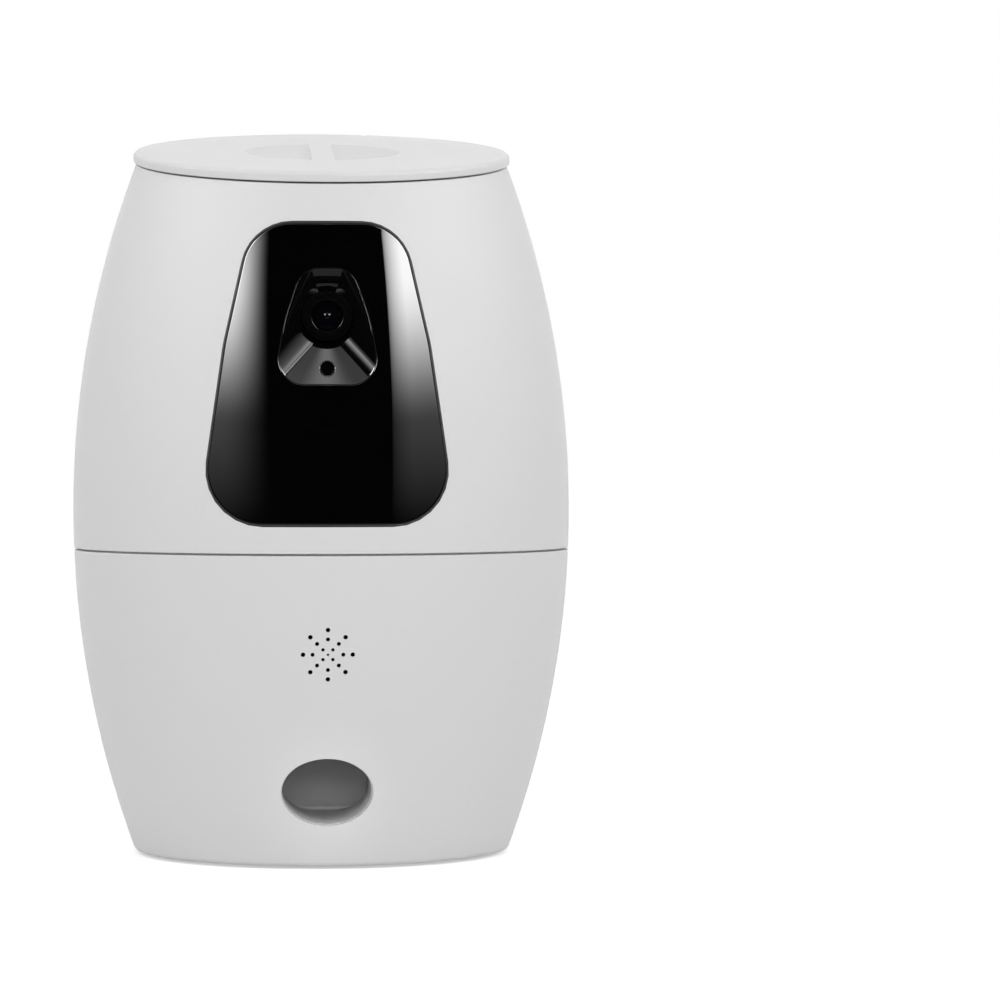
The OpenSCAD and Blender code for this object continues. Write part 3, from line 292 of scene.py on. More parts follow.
# %% Outer finishes
OUTER = {
    # colour, roughness, grain scale, grain depth, clouds, dulling, what is special
    "shell_white": ((0.83, 0.83, 0.832), 0.5, 3200, 0.00001, 0.006, 0.08, {"specular": 0.045}),
    "lid_white": ((0.84, 0.84, 0.842), 0.5, 3200, 0.00001, 0.006, 0.08, {"specular": 0.045}),
    "window_black": ((0.0012, 0.0012, 0.0014), 0.02, 40, 0.0, 0.3, 0.02, {"specular": 0.5, "dust": 0.05}),
    # trim near black: partly its own colour, partly painted shade of the gap round the window
    "trim_grey": ((0.05, 0.05, 0.052), 0.4, 2500, 0.000004, 0.03, 0.1, {"specular": 0.08}),
    "hood_black": (
        (0.002, 0.002, 0.0022), 0.08, 1500, 0.000002, 0.2, 0.04, {"specular": 0.7, "dust": 0.05}
    ),
    "lens_black": ((0.002, 0.002, 0.002), 0.36, 2500, 0.00001, 0.2, 0.1, {"specular": 0.02}),
    "eyelet_black": ((0.004, 0.004, 0.004), 0.12, 1500, 0.0, 0.2, 0.04, {"specular": 0.6}),
    "eye_glass": ((0.001, 0.001, 0.002), 0.02, 60, 0.0, 0.0, 0.0, {"specular": 0.2}),
}
finishes = {slot: finish(slot, *numbers, **special) for slot, (*numbers, special) in OUTER.items()}
print("outer finishes:", len(finishes))

# %% [markdown]
# ## The inner plastics and rubbers
#
# Inside are moulded mechanisms. Gears are cream coloured, self-oiling plastic. The
# drum, the throwing arm and the food parts are pale. They are less polished than
# the outside, and their edges are a little rubbed.

# %% Inner finishes
INNER = {
    # colour, roughness, grain scale, grain depth, clouds
    "inner_white": ((0.76, 0.76, 0.765), 0.45, 1800, 0.00003, 0.02),
    "drum_grey": ((0.8, 0.8, 0.81), 0.5, 1800, 0.00004, 0.04),
    "gear_cream": ((0.74, 0.7, 0.58), 0.38, 2200, 0.00002, 0.03),
    "agitator_grey": ((0.24, 0.26, 0.29), 0.42, 1900, 0.00003, 0.04),
    "arm_grey": ((0.86, 0.86, 0.865), 0.42, 2000, 0.00003, 0.03),
    "board_black": ((0.02, 0.02, 0.021), 0.45, 2600, 0.00003, 0.1),
    "led_dark": ((0.03, 0.014, 0.04), 0.08, 300, 0.0, 0.1),
    "gasket_grey": ((0.13, 0.135, 0.14), 0.7, 900, 0.00006, 0.08),
    "foot_rubber": ((0.02, 0.02, 0.021), 0.8, 1100, 0.00008, 0.12),
    "speaker_black": ((0.018, 0.018, 0.02), 0.6, 1400, 0.00006, 0.12),
    "cable_black": ((0.012, 0.012, 0.012), 0.5, 1600, 0.00004, 0.12),
}
INNER_DULL, INNER_WEAR = 0.12, 0.25
for slot, numbers in INNER.items():
    finishes[slot] = finish(slot, *numbers, INNER_DULL, INNER_WEAR)
print("finishes so far:", len(finishes))

# %% [markdown]
# ## Metals
#
# Screws, shafts, springs and motor cans are plated steel with drawn or turned
# lines, and bushings and pinions are brass. A metal is its reflection, so these
# carry their character in brushed lines and in an uneven roughness.

# %% Metal finishes
METALS = {
    # colour, roughness, depth of the lines
    "steel": ((0.56, 0.56, 0.57), 0.3, 0.000006),
    "motor_steel": ((0.46, 0.46, 0.47), 0.38, 0.000009),
    "brass": ((0.72, 0.5, 0.2), 0.28, 0.000006),
}
for slot, (colour, rough, depth) in METALS.items():
    finishes[slot] = finish(slot, colour, rough, 2500, depth, 0.05, 0.15, 0.3, metal=1.0, lined=True)
print("finishes so far:", len(finishes))

# %% [markdown]
# ## The circuit boards
#
# Solder mask is a thin green lacquer over copper tracks. The tracks could be cut
# as geometry, but they are 0.03 mm high, so a pattern of square cells stands in
# for them: the cell borders are tracks and show a lighter green.

# %% Board finish
TRACKS_PER_M, TRACK_FROM, TRACK_TO = 330, 0.34, 0.37
TRACK_GREEN = (0.03, 0.24, 0.09, 1.0)
finishes["board_green"] = finish("board_green", (0.012, 0.13, 0.05), 0.28, 900, 0.00001, 0.05, 0.1)
tree = finishes["board_green"].node_tree
shader = tree.nodes["Principled BSDF"]
tracks = tree.nodes.new("ShaderNodeTexVoronoi")
tracks.distance = "CHEBYCHEV"
tracks.feature = "F1"
tracks.inputs["Scale"].default_value = TRACKS_PER_M
tree.links.new(tree.nodes.new("ShaderNodeTexCoord").outputs["Object"], tracks.inputs["Vector"])
borders = add_ramp(tree, tracks.outputs["Distance"], TRACK_FROM, TRACK_TO, kind="LINEAR")
plain_green = shader.inputs["Base Color"].links[0].from_socket
tree.links.new(add_mix(tree, borders, plain_green, TRACK_GREEN), shader.inputs["Base Color"])
print("board finish ready")

# %% [markdown]
# ## The lens glass
#
# The front element is coated glass over a black barrel, so it shows almost no
# colour and hardly any reflection of its own. The coating's violet reflection is
# painted into the colour: a weak violet sheen that grows towards the rim, which a
# Fresnel node gives without reading where the camera stands.

# %% Glass finish
COATING_IOR, PAINTED_COATING_SHEEN = 1.35, (0.02, 0.02, 0.05, 1.0)
finishes["lens_glass"] = finish(
    "lens_glass", (0.0012, 0.0012, 0.002), 0.02, 60, 0.0, 0.02, 0.01, specular=0.04
)
tree = finishes["lens_glass"].node_tree
shader = tree.nodes["Principled BSDF"]
rim = tree.nodes.new("ShaderNodeFresnel")
rim.inputs["IOR"].default_value = COATING_IOR
tint = shader.inputs["Base Color"].links[0].from_socket
# painted reflection: the coating's violet sheen mixed into the base colour by a Fresnel node
tree.links.new(add_mix(tree, rim.outputs[0], tint, PAINTED_COATING_SHEEN), shader.inputs["Base Color"])
print("finishes:", len(finishes))

# %% [markdown]
# ## Dressing the solids
#
# The record names a material slot for each solid. A loop gives each its finish,
# so nothing is left plain.

# %% Give every solid its finish
slot_of = {part["node"]: part["material_slot"] for part in frame["record"]["subparts"]}
for name, node in nodes.items():
    node.data.materials.clear()
    node.data.materials.append(finishes[slot_of[name]])
print("dressed:", len(nodes))

# %% [markdown]
# ## The body's curve
#
# The shells are a barrel: a circle arc turned round the Z axis. The front window
# is cut from the same surface, so its fine pieces need that curve again. Its
# numbers are those of the engineering model.

# %% Barrel curve and outlines
BODY_R = 82.5
SIDE_R = 324.0
WIDEST_Z = 114.0


def barrel_radius(z, inset=0.0):
    """Radius of the barrel at a height, or of a surface a given depth under it."""
    return BODY_R - SIDE_R + math.sqrt((SIDE_R - inset) ** 2 - (z - WIDEST_Z) ** 2)


def front_point(x, z, inset=0.0):
    """The point of the front, in metres, on the barrel or a depth under it."""
    radius = barrel_radius(z, inset)
    return Vector((x, -math.sqrt(radius * radius - x * x), z)) * MM


def tangent_angle(a, b):
    """Where the line that touches two circles [x, z, r] leaves the first one."""
    dx, dz = b[0] - a[0], b[1] - a[1]
    return math.atan2(dz, dx) - math.acos((a[2] - b[2]) / math.hypot(dx, dz))


def outline_points(circles, grow, steps=60):
    """The closed outline round circles, joined by tangents and grown by some distance."""
    points = []
    for i, (x, z, r) in enumerate(circles):
        start_angle = tangent_angle(circles[i - 1], circles[i])
        end_angle = tangent_angle(circles[i], circles[(i + 1) % len(circles)])
        turn = (end_angle - start_angle) % (2 * math.pi)
        for k in range(steps + 1):
            a = start_angle + turn * k / steps
            points.append((x + (r + grow) * math.cos(a), z + (r + grow) * math.sin(a)))
    return points


def outline_reach(sorted_points, angle):
    """How far the outline lies from its middle in one direction.

    sorted_points are (angle, x, z) seen from the middle, in order of angle."""
    at = bisect.bisect(sorted_points, (angle,))
    _, ax, az = sorted_points[at - 1]
    _, bx, bz = sorted_points[at % len(sorted_points)]
    dx, dz = math.cos(angle), math.sin(angle)
    ex, ez = bx - ax, bz - az
    return (ax * ez - az * ex) / (dx * ez - dz * ex)


print("widest radius:", barrel_radius(WIDEST_Z))

# %% [markdown]
# ## Pieces made from rings
#
# The finer pieces are all skins that run round an outline: each is a stack of
# closed rings joined by four-sided faces. Lofting rings in mesh code gives full
# control of every rounding, which a bevel on the solid would not.

# %% Ring skinning helper
AROUND = 480


def skin_rings(name, rings, closed, slot, look=None, body="casing"):
    """A smooth mesh through closed rings of equal length; closed joins last to first.

    look names a finish other than the slot's own."""
    mesh = bpy.data.meshes.new(name)
    bm = bmesh.new()
    rows = [[bm.verts.new(p) for p in ring] for ring in rings]
    count = len(rings[0])
    for near, far in list(zip(rows, rows[1:])) + ([(rows[-1], rows[0])] if closed else []):
        for i in range(count):
            j = (i + 1) % count
            bm.faces.new((near[i], near[j], far[j], far[i]))
    bmesh.ops.recalc_face_normals(bm, faces=bm.faces)
    for face in bm.faces:
        face.smooth = True
    bm.to_mesh(mesh)
    bm.free()
    mesh.materials.append(finishes[look or slot])
    piece = bpy.data.objects.new(name, mesh)
    bpy.context.scene.collection.objects.link(piece)
    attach(piece, body)
    return piece


def outline_ring(circles, centre_z, grow):
    """Points (x, z) of the outline grown by some distance, at even angles."""
    seen_from_middle = [(x, z - centre_z) for x, z in outline_points(circles, grow)]
    points = sorted((math.atan2(z, x) % (2 * math.pi), x, z) for x, z in seen_from_middle)
    ring = []
    for i in range(AROUND):
        angle = 2 * math.pi * (i + 0.5) / AROUND
        reach = outline_reach(points, angle)
        ring.append((reach * math.cos(angle), centre_z + reach * math.sin(angle)))
    return ring


def on_front(ring, depth):
    """The ring's points laid on the barrel, or a depth under it."""
    return [front_point(x, z, depth) for x, z in ring]


print("rings of", AROUND, "points")

# %% [markdown]
# ## The outlines of the window and of the funnel's mouth
#
# Both are egg shapes made of six circle arcs: two low corners, two wide sides
# and two top corners. They repeat the values of the engineering model, so the
# fine pieces land exactly in the shells' opening.

# %% Outlines
WINDOW_Z, WINDOW_H, WINDOW_W = 110.3, 95.8, 76.0
LOW_R, TOP_R, TOP_W, SIDE_R_W = 17.4, 15.8, 22.2, 61.0
SIDE_X, SIDE_SHARE = WINDOW_W / 2 - 65.6, 0.48
FUNNEL_Z, FUNNEL_H, FUNNEL_W = 154.5, 36.9, 31.0
FUNNEL_LOW_R, FUNNEL_TOP_R, FUNNEL_TOP_X, FUNNEL_SIDE_R = 8.3, 7.4, 2.7, 48.0
FUNNEL_SIDE_X, FUNNEL_SIDE_Z = FUNNEL_W / 2 - 48.76, FUNNEL_Z + 9.1


def six_circles(low_x, low_z, low_r, side_x, side_z, side_r, top_x, top_z, top_r):
    """The circles of an egg-shaped outline, anticlockwise from the lower left."""
    return [
        (-low_x, low_z, low_r), (low_x, low_z, low_r), (side_x, side_z, side_r),
        (top_x, top_z, top_r), (-top_x, top_z, top_r), (-side_x, side_z, side_r),
    ]


window_circles = six_circles(
    WINDOW_W / 2 - LOW_R, WINDOW_Z + LOW_R, LOW_R,
    SIDE_X, WINDOW_Z + WINDOW_H * SIDE_SHARE, SIDE_R_W,
    TOP_W / 2, WINDOW_Z + WINDOW_H - TOP_R, TOP_R,
)
mouth_circles = six_circles(
    FUNNEL_W / 2 - FUNNEL_LOW_R, FUNNEL_Z + FUNNEL_LOW_R, FUNNEL_LOW_R,
    FUNNEL_SIDE_X, FUNNEL_SIDE_Z, FUNNEL_SIDE_R,
    FUNNEL_TOP_X, FUNNEL_Z + FUNNEL_H - FUNNEL_TOP_R, FUNNEL_TOP_R,
)
LENS_Z = 176.4
print("outlines ready")

# %% [markdown]
# ## The window pane
#
# The pane is a 1.5 mm sheet of black polished plastic that follows the barrel.
# Its rims are rounded by a quarter of a millimetre, and those roundings are what
# draws a thin bright line round the mouth. The solid has sharp rims, so a pane
# with rounded ones replaces it: a stack of rings from the outer rim, over the
# front, into the mouth and back behind.

# %% Window pane
PANE_T, ACROSS = 1.5, 14
ROUND = [(0.0, 0.30), (0.02, 0.19), (0.07, 0.09), (0.15, 0.025), (0.27, 0.0)]
MIDDLE_Z = 173.0


def between(outer, inner, share):
    """A ring part of the way from one ring to another."""
    return [
        (ax + (bx - ax) * share, az + (bz - az) * share)
        for (ax, az), (bx, bz) in zip(outer, inner)
    ]


PANE_INSET = 0.32
outer_rim = outline_ring(window_circles, MIDDLE_Z, -PANE_INSET)
mouth_rim = outline_ring(mouth_circles, MIDDLE_Z, 0.0)
rings = [on_front(outer_rim, PANE_T)]
for inward, depth in ROUND:
    rings.append(on_front(outline_ring(window_circles, MIDDLE_Z, -PANE_INSET - inward), depth))
outer_flat = outline_ring(window_circles, MIDDLE_Z, -PANE_INSET - ROUND[-1][0])
mouth_flat = outline_ring(mouth_circles, MIDDLE_Z, ROUND[-1][0])
# a ring close to each rim keeps the roundings crisp
shares = [0.005] + [k / ACROSS for k in range(1, ACROSS)] + [0.995]
rings += [on_front(between(outer_flat, mouth_flat, share), 0.0) for share in shares]
for inward, depth in reversed(ROUND):
    rings.append(on_front(outline_ring(mouth_circles, MIDDLE_Z, inward), depth))
rings += [on_front(between(mouth_rim, outer_rim, k / ACROSS), PANE_T) for k in range(ACROSS)]
window_pane = skin_rings("window_pane", rings, True, "window_black")
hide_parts("front_window")
print("window pane faces:", len(window_pane.data.polygons))

# %% [markdown]
# ## The trim line
#
# A thin line of dark grey plastic runs round the window, 0.9 mm wide with a round
# crown. Its dark grey is partly the trim's own colour and partly painted shade of
# the gap round the window. It catches a narrow highlight and drops into a gap on
# both sides. The solid is a flat strip, so a bead with a round crown replaces it.

# %% Trim bead
CROWN = [(-0.3, PANE_T), (-0.3, 0.4), (-0.24, 0.2), (-0.1, 0.07), (0.1, 0.03),
         (0.4, 0.07), (0.54, 0.2), (0.6, 0.4), (0.6, PANE_T)]
rings = [on_front(outline_ring(window_circles, MIDDLE_Z, out), depth) for out, depth in CROWN]
trim_bead = skin_rings("trim_bead", rings, True, "trim_grey")
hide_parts("window_trim")
print("trim bead faces:", len(trim_bead.data.polygons))

# %% [markdown]
# ## The funnel round the lens
#
# Behind the mouth a funnel of black gloss plastic leads in to the lens. It is the
# straight loft between a large outline and a small one, so its walls are flat
# facets with creases, and its lower facet is a very shallow cone. At each point
# of the mouth the depth of the loft is the least over all directions.
#
# The two lower creases are rounded and draw two bright streaks. They could share
# one radius, but the streaks differ in width, so each crease has a list of knots
# that says how much of the side wall's slope is taken as one comes over it. The
# liner is laid over that and kept a little under the front, so that nothing
# stands proud of the window.

# %% Depth of the funnel
START_Y = -barrel_radius(LENS_Z)
FUNNEL_DEPTH, LIP, LIFT, UNDER_FRONT = 7.1, 0.8, 0.1, 0.3
CONE, CONE_Z, CONE_TURN, CONE_LAST = 0.08, LENS_Z - 4.5, 0.5, 1.2
FALL_FROM, FALL_BAND = 0.2, 0.2
END_LOW, END_LOW_X, END_TOP, END_TOP_X = 6.2, 4.1, 3.1, 1.8
CORNER_OUT, WALL_STEPS = 1.8, 160
corner_x, corner_r = FUNNEL_W / 2 + CORNER_OUT, 0.2
face_circles = [(-corner_x, FUNNEL_Z + corner_r, corner_r), (corner_x, FUNNEL_Z + corner_r, corner_r)]
face_circles += [(x, z, r + LIP) for x, z, r in mouth_circles[2:]]
end_points = [(side * END_LOW_X, LENS_Z - END_LOW) for side in (-1, 1)]
end_points += [(side * END_TOP_X, LENS_Z + END_TOP) for side in (1, -1)]
face_outline = outline_points(face_circles, 0.0)
WALLS = []
first = tangent_angle(face_circles[1], face_circles[2])
for k in range(WALL_STEPS + 1):
    a = first + (math.pi - 2 * first) * k / WALL_STEPS
    nx, nz = math.cos(a), math.sin(a)
    far_out = max(nx * x + nz * z for x, z in face_outline)
    WALLS.append((nx, nz, far_out, far_out - max(nx * x + nz * z for x, z in end_points)))
LOW_RISE = FUNNEL_DEPTH / (LENS_Z - END_LOW - FUNNEL_Z)
# how much of the side wall's slope is taken, from the lower facet over the crease
CREASE_LEFT = [(-1.4, 0.0), (-1.3, 0.66), (-0.5, 0.58), (0.6, 0.66), (4.194, 1.0)]
CREASE_RIGHT = [(-2.0, 0.0), (-1.4, 0.3), (0.6, 0.5), (1.76, 1.0)]


def crease_depth(past, knots):
    """How far the rounded crease rises above the lower facet, past it by some depth."""
    if past >= knots[-1][0]:
        return past
    total = 0.0
    for (u0, t0), (u1, t1) in zip(knots, knots[1:]):
        if past > u0:
            u = min(past, u1)
            t = t0 + (t1 - t0) * (u - u0) / (u1 - u0)
            total += (u - u0) * (t0 + t) / 2
    return total


def funnel_y(x, z):
    """Where the funnel's wall lies along Y at a point of the mouth, in millimetres."""
    front_y = -math.sqrt(barrel_radius(z) ** 2 - x * x)
    fall = max(front_y - START_Y, 0.0)
    side = min(
        FUNNEL_DEPTH * (far - nx * x - nz * z) / span
        + fall * min(max((nz - FALL_FROM) / FALL_BAND, 0.0), 1.0)
        for nx, nz, far, span in WALLS
    )
    turn = abs(math.atan2(x, CONE_Z - z))
    if turn < CONE_TURN:
        bend = turn * turn / 2
    else:
        bend = CONE_TURN * (min(turn, CONE_LAST) - CONE_TURN / 2)
    low = LOW_RISE * (z - FUNNEL_Z) - CONE * math.hypot(x, CONE_Z - z) * bend
    knots = CREASE_LEFT if x < 0 else CREASE_RIGHT
    wall_y = START_Y + min(low - crease_depth(low - side, knots), FUNNEL_DEPTH) - LIFT
    return max(wall_y, front_y + UNDER_FRONT)


print("depth at the lens:", round(funnel_y(0.0, LENS_Z) - START_Y, 2))

# %% Funnel liner
LENS_GAP_R, LINER_START, DEEP = 8.0, 0.32, 44
MIC_Z, MIC_R, MIC_RIM, MIC_PLAY = 159.7, 2.3, 0.42, 0.12
mouth_inner = outline_ring(mouth_circles, LENS_Z, -LIFT)
rings = [on_front(mouth_inner, LINER_START)]
for k in range(DEEP + 1):
    ring = []
    for i, (x, z) in enumerate(mouth_inner):
        angle = 2 * math.pi * (i + 0.5) / AROUND
        lens_x, lens_z = LENS_GAP_R * math.cos(angle), LENS_Z + LENS_GAP_R * math.sin(angle)
        px, pz = x + (lens_x - x) * k / DEEP, z + (lens_z - z) * k / DEEP
        ring.append(Vector((px, funnel_y(px, pz), pz)) * MM)
    rings.append(ring)
funnel_liner = skin_rings("funnel_liner", rings, False, "hood_black")
bm = bmesh.new()
bm.from_mesh(funnel_liner.data)
middles = [(face, face.calc_center_median()) for face in bm.faces]
hole_r = (MIC_R + MIC_PLAY) * MM
hole = [face for face, at in middles if math.hypot(at.x, at.z - MIC_Z * MM) < hole_r]
bmesh.ops.delete(bm, geom=hole, context="FACES")
bm.to_mesh(funnel_liner.data)
bm.free()
print("funnel liner faces:", len(funnel_liner.data.polygons))

# %% [markdown]
# ## The face of the throwing arm
#
# Through the treat outlet one looks at the throwing arm at rest. Its face is a
# shallow dish that keeps a treat in the middle of the blade. The dish is deepest
# in the middle and its lip is highest at the tip, so light that comes in through
# the outlet fades over it. The drum's axis and the arm's turn are those of the
# solids.

# %% Arm face
ARM_AXIS_Y, ARM_AXIS_Z, ARM_TURN = -6.0, 50.0, math.radians(-105)
FACE_ROOT, FACE_TIP, FACE_HALF, FACE_OFF = 13.6, 36.9, 14.4, 1.5
FACE_LIP, FACE_LEAN, FACE_STEPS, FACE_POINTS, FACE_SQUARE = 3.6, 1.8, 16, 96, 5


def face_ring(share, rise=None):
    """A rounded square ring on the arm, some share of the full size."""
    ring = []
    half = (FACE_TIP - FACE_ROOT) / 2
    for i in range(FACE_POINTS):
        a = 2 * math.pi * i / FACE_POINTS
        reach = abs(math.cos(a)) ** FACE_SQUARE + abs(math.sin(a)) ** FACE_SQUARE
        reach = reach ** (-1 / FACE_SQUARE)
        du, x = share * reach * math.cos(a), FACE_HALF * share * reach * math.sin(a)
        lift = share ** 3 * (FACE_LIP + FACE_LEAN * du) if rise is None else rise
        u, n = FACE_ROOT + half * (1 + du), FACE_OFF + lift
        y = ARM_AXIS_Y + u * math.cos(ARM_TURN) + n * math.sin(ARM_TURN)
        z = ARM_AXIS_Z + u * math.sin(ARM_TURN) - n * math.cos(ARM_TURN)
        ring.append(Vector((x, y, z)) * MM)
    return ring


rings = [face_ring(1.0, -0.05), face_ring(1.0)]
rings += [face_ring(k / FACE_STEPS) for k in range(FACE_STEPS - 1, 0, -1)] + [face_ring(0.002)]
arm_face = skin_rings("arm_face", rings, False, "arm_grey", body="thrower")
print("arm face points:", len(arm_face.data.vertices))

# %% [markdown]
# ## The rim of the microphone hole
#
# A small polished eyelet lines the hole under the lens. Its rounded lip sits on
# the funnel's lower wall and catches the light. The hole could stay a plain cut,
# but one would see through it to the board, so a dull black well closes it.

# %% Microphone eyelet and well
MIC_POINTS = 96


def mic_ring(radius, rise, flat=False):
    """A ring round the hole; on the funnel's wall, or flat across the hole."""
    ring = []
    for i in range(MIC_POINTS):
        a = 2 * math.pi * i / MIC_POINTS
        x, z = radius * math.cos(a), MIC_Z + radius * math.sin(a)
        wall = START_Y + LOW_RISE * ((MIC_Z if flat else z) - FUNNEL_Z) - LIFT
        ring.append(Vector((x, wall + rise, z)) * MM)
    return ring


# how far outside the hole and how deep the lip runs, from its outer edge inwards
EDGE = [(MIC_RIM, 0.05), (0.34, -0.03), (0.2, -0.01), (0.09, 0.06), (0.02, 0.17), (0.0, 0.3)]
lip = [mic_ring(MIC_R + out, rise) for out, rise in EDGE]
mic_eyelet = skin_rings("mic_eyelet", lip, False, "lens_black", "eyelet_black")
well = [mic_ring(MIC_R - 0.05, 0.25), mic_ring(MIC_R - 0.06, 1.2), mic_ring(MIC_R - 0.08, 2.3, True)]
well += [mic_ring(radius, 2.3, True) for radius in (1.5, 0.8, 0.02)]
mic_well = skin_rings("mic_well", well, False, "lens_black")
print("eyelet faces:", len(mic_eyelet.data.polygons), "well faces:", len(mic_well.data.polygons))

# %% [markdown]
# ## The lens
#
# A real lens is more than a black disc. The domed front element carries a small,
# strongly curved element in its middle that gathers each soft box into a tiny
# spark, and the ring round it has a polished inner edge that draws two arcs. Each
# is a profile turned round the lens axis, so a short turning helper makes them.

# %% Turned lens pieces
LENS_SUNK = 2.9
LENS_FRONT_Y = LENS_SUNK - barrel_radius(LENS_Z)


def turn_on_lens(name, profile, slot, look=None, steps=96):
    """A profile of (radius, depth behind the lens front) turned round the lens axis."""
    rings = []
    for radius, depth in profile:
        rings.append([
            Vector((
                radius * math.cos(2 * math.pi * i / steps), LENS_FRONT_Y + depth,
                LENS_Z + radius * math.sin(2 * math.pi * i / steps),
            )) * MM
            for i in range(steps)
        ])
    return skin_rings(name, rings, False, slot, look)


DOME_R, GLASS_R, GLASS_T, GLASS_DEPTH = 14.0, 5.15, 0.5, 0.35
EYE_R, EYE_CURVE, EYE_DEPTH = 1.4, 1.5, -0.45
RIM_OUT, RIM_IN, RIM_BEND, RIM_DEPTH, RIM_STEPS = 5.18, 4.98, 0.2, -0.12, 16


def dome_profile(first, last, count, depth, curve):
    """Points of a dome from close to its crown out to its edge."""
    radii = [first] + [last * k / count for k in range(1, count + 1)]
    return [(r, depth + (curve - math.sqrt(curve * curve - r * r))) for r in radii]


front_profile = dome_profile(0.02, GLASS_R, 14, GLASS_DEPTH, DOME_R)
back_profile = [(r, depth + GLASS_T) for r, depth in reversed(front_profile)]
lens_cover = turn_on_lens("lens_cover", front_profile + back_profile, "lens_glass")
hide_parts("lens_glass")
eye_profile = dome_profile(0.01, EYE_R, 12, EYE_DEPTH, EYE_CURVE)
turn_on_lens("lens_eye", eye_profile, "lens_glass", "eye_glass", 64)
rim_angles = [k * math.pi / RIM_STEPS for k in range(RIM_STEPS // 2 + 1)]
rim_profile = [(RIM_OUT - RIM_BEND * math.sin(a), RIM_DEPTH - RIM_BEND * math.cos(a)) for a in rim_angles]
rim_profile.append((RIM_IN, GLASS_T))
turn_on_lens("lens_rim", rim_profile, "lens_black", "eye_glass")
print("lens pieces: cover, eye, rim")

# %% [markdown]
# ## The floor and the light
#
# The picture stands on plain white. The floor is matt white and, seen by the
# camera, a little brighter, so that only the shadow under the object is left.
# Soft boxes stand left and right. They could be lamps alone, but a polished
# window shows the shape of each box, so a card that only reflections see gives
# that shape, and soft lamps give the light.

# %% Floor
FLOOR_HALF, FLOOR_WHITE, FLOOR_ROUGH, FLOOR_GLOW = 12, 0.9, 0.9, 0.46
floor_mesh = bpy.data.meshes.new("floor")
bm = bmesh.new()
bmesh.ops.create_grid(bm, x_segments=1, y_segments=1, size=FLOOR_HALF)
bm.to_mesh(floor_mesh)
bm.free()
floor = bpy.data.objects.new("floor", floor_mesh)
bpy.context.scene.collection.objects.link(floor)
floor.visible_glossy = False
floor_finish = bpy.data.materials.new("floor_white")
floor_finish.use_nodes = True
tree = floor_finish.node_tree
shader = tree.nodes["Principled BSDF"]
shader.inputs["Base Color"].default_value = (FLOOR_WHITE, FLOOR_WHITE, FLOOR_WHITE, 1.0)
shader.inputs["Roughness"].default_value = FLOOR_ROUGH
shader.inputs["Specular IOR Level"].default_value = 0.0
shader.inputs["Emission Color"].default_value = (1.0, 1.0, 1.0, 1.0)
seen = tree.nodes.new("ShaderNodeLightPath").outputs["Is Camera Ray"]
tree.links.new(add_math(tree, "MULTIPLY", seen, FLOOR_GLOW), shader.inputs["Emission Strength"])
floor_mesh.materials.append(floor_finish)
print("floor ready")

# %% World
WORLD_LEVEL = 0.63
world = bpy.data.worlds.new("studio")
bpy.context.scene.world = world
world.use_nodes = True
tree = world.node_tree
tree.nodes.clear()
path = tree.nodes.new("ShaderNodeLightPath")
seen = add_math(tree, "MAXIMUM", path.outputs["Is Camera Ray"], path.outputs["Is Glossy Ray"])
seen = add_math(tree, "MAXIMUM", seen, path.outputs["Is Transmission Ray"])
background = tree.nodes.new("ShaderNodeBackground")
level = add_ramp(tree, seen, 0.0, 1.0, WORLD_LEVEL, 1.0, "LINEAR")
tree.links.new(level, background.inputs["Strength"])
background.inputs["Color"].default_value = (1.0, 1.0, 1.0, 1.0)
tree.links.new(background.outputs[0], tree.nodes.new("ShaderNodeOutputWorld").inputs[0])
print("world level:", WORLD_LEVEL)

# %% Lamps
LAMP_AIM = Vector((0, 0, 0.15))
LAMPS = [
    # azimuth from the front, elevation, distance, width, height, watts
    (-38, 34, 1.9, 1.0, 1.0, 2.3),
    (40, 34, 1.9, 1.0, 1.0, 3.2),
    (4, 75, 1.3, 0.5, 0.5, 1.0),
    (2, 18, 1.6, 0.6, 0.6, 1.0),
]
for index, (azimuth, elevation, distance, width, height, watts) in enumerate(LAMPS):
    data = bpy.data.lights.new(f"soft box {index}", "AREA")
    data.shape = "RECTANGLE"
    data.size, data.size_y = width, height
    data.energy = watts
    lamp = bpy.data.objects.new(f"soft box {index}", data)
    a, e = math.radians(azimuth), math.radians(elevation)
    away = Vector((math.sin(a) * math.cos(e), -math.cos(a) * math.cos(e), math.sin(e)))
    lamp.location = away * distance + LAMP_AIM
    lamp.rotation_euler = away.to_track_quat("Z", "Y").to_euler()
    lamp.visible_camera = False
    lamp.visible_glossy = False
    bpy.context.scene.collection.objects.link(lamp)
print("lamps:", len(LAMPS))

# %% [markdown]
# ## Light in the treat outlet
#
# The tunnel behind the outlet is deep, so the soft lamps hardly reach the arm at
# its end, and in the picture it is well lit. One lamp with a large radius and a
# narrow cone gives almost no light, so twelve small narrow lamps stand spread
# over a disc, a little above the camera, and all aim at the outlet.

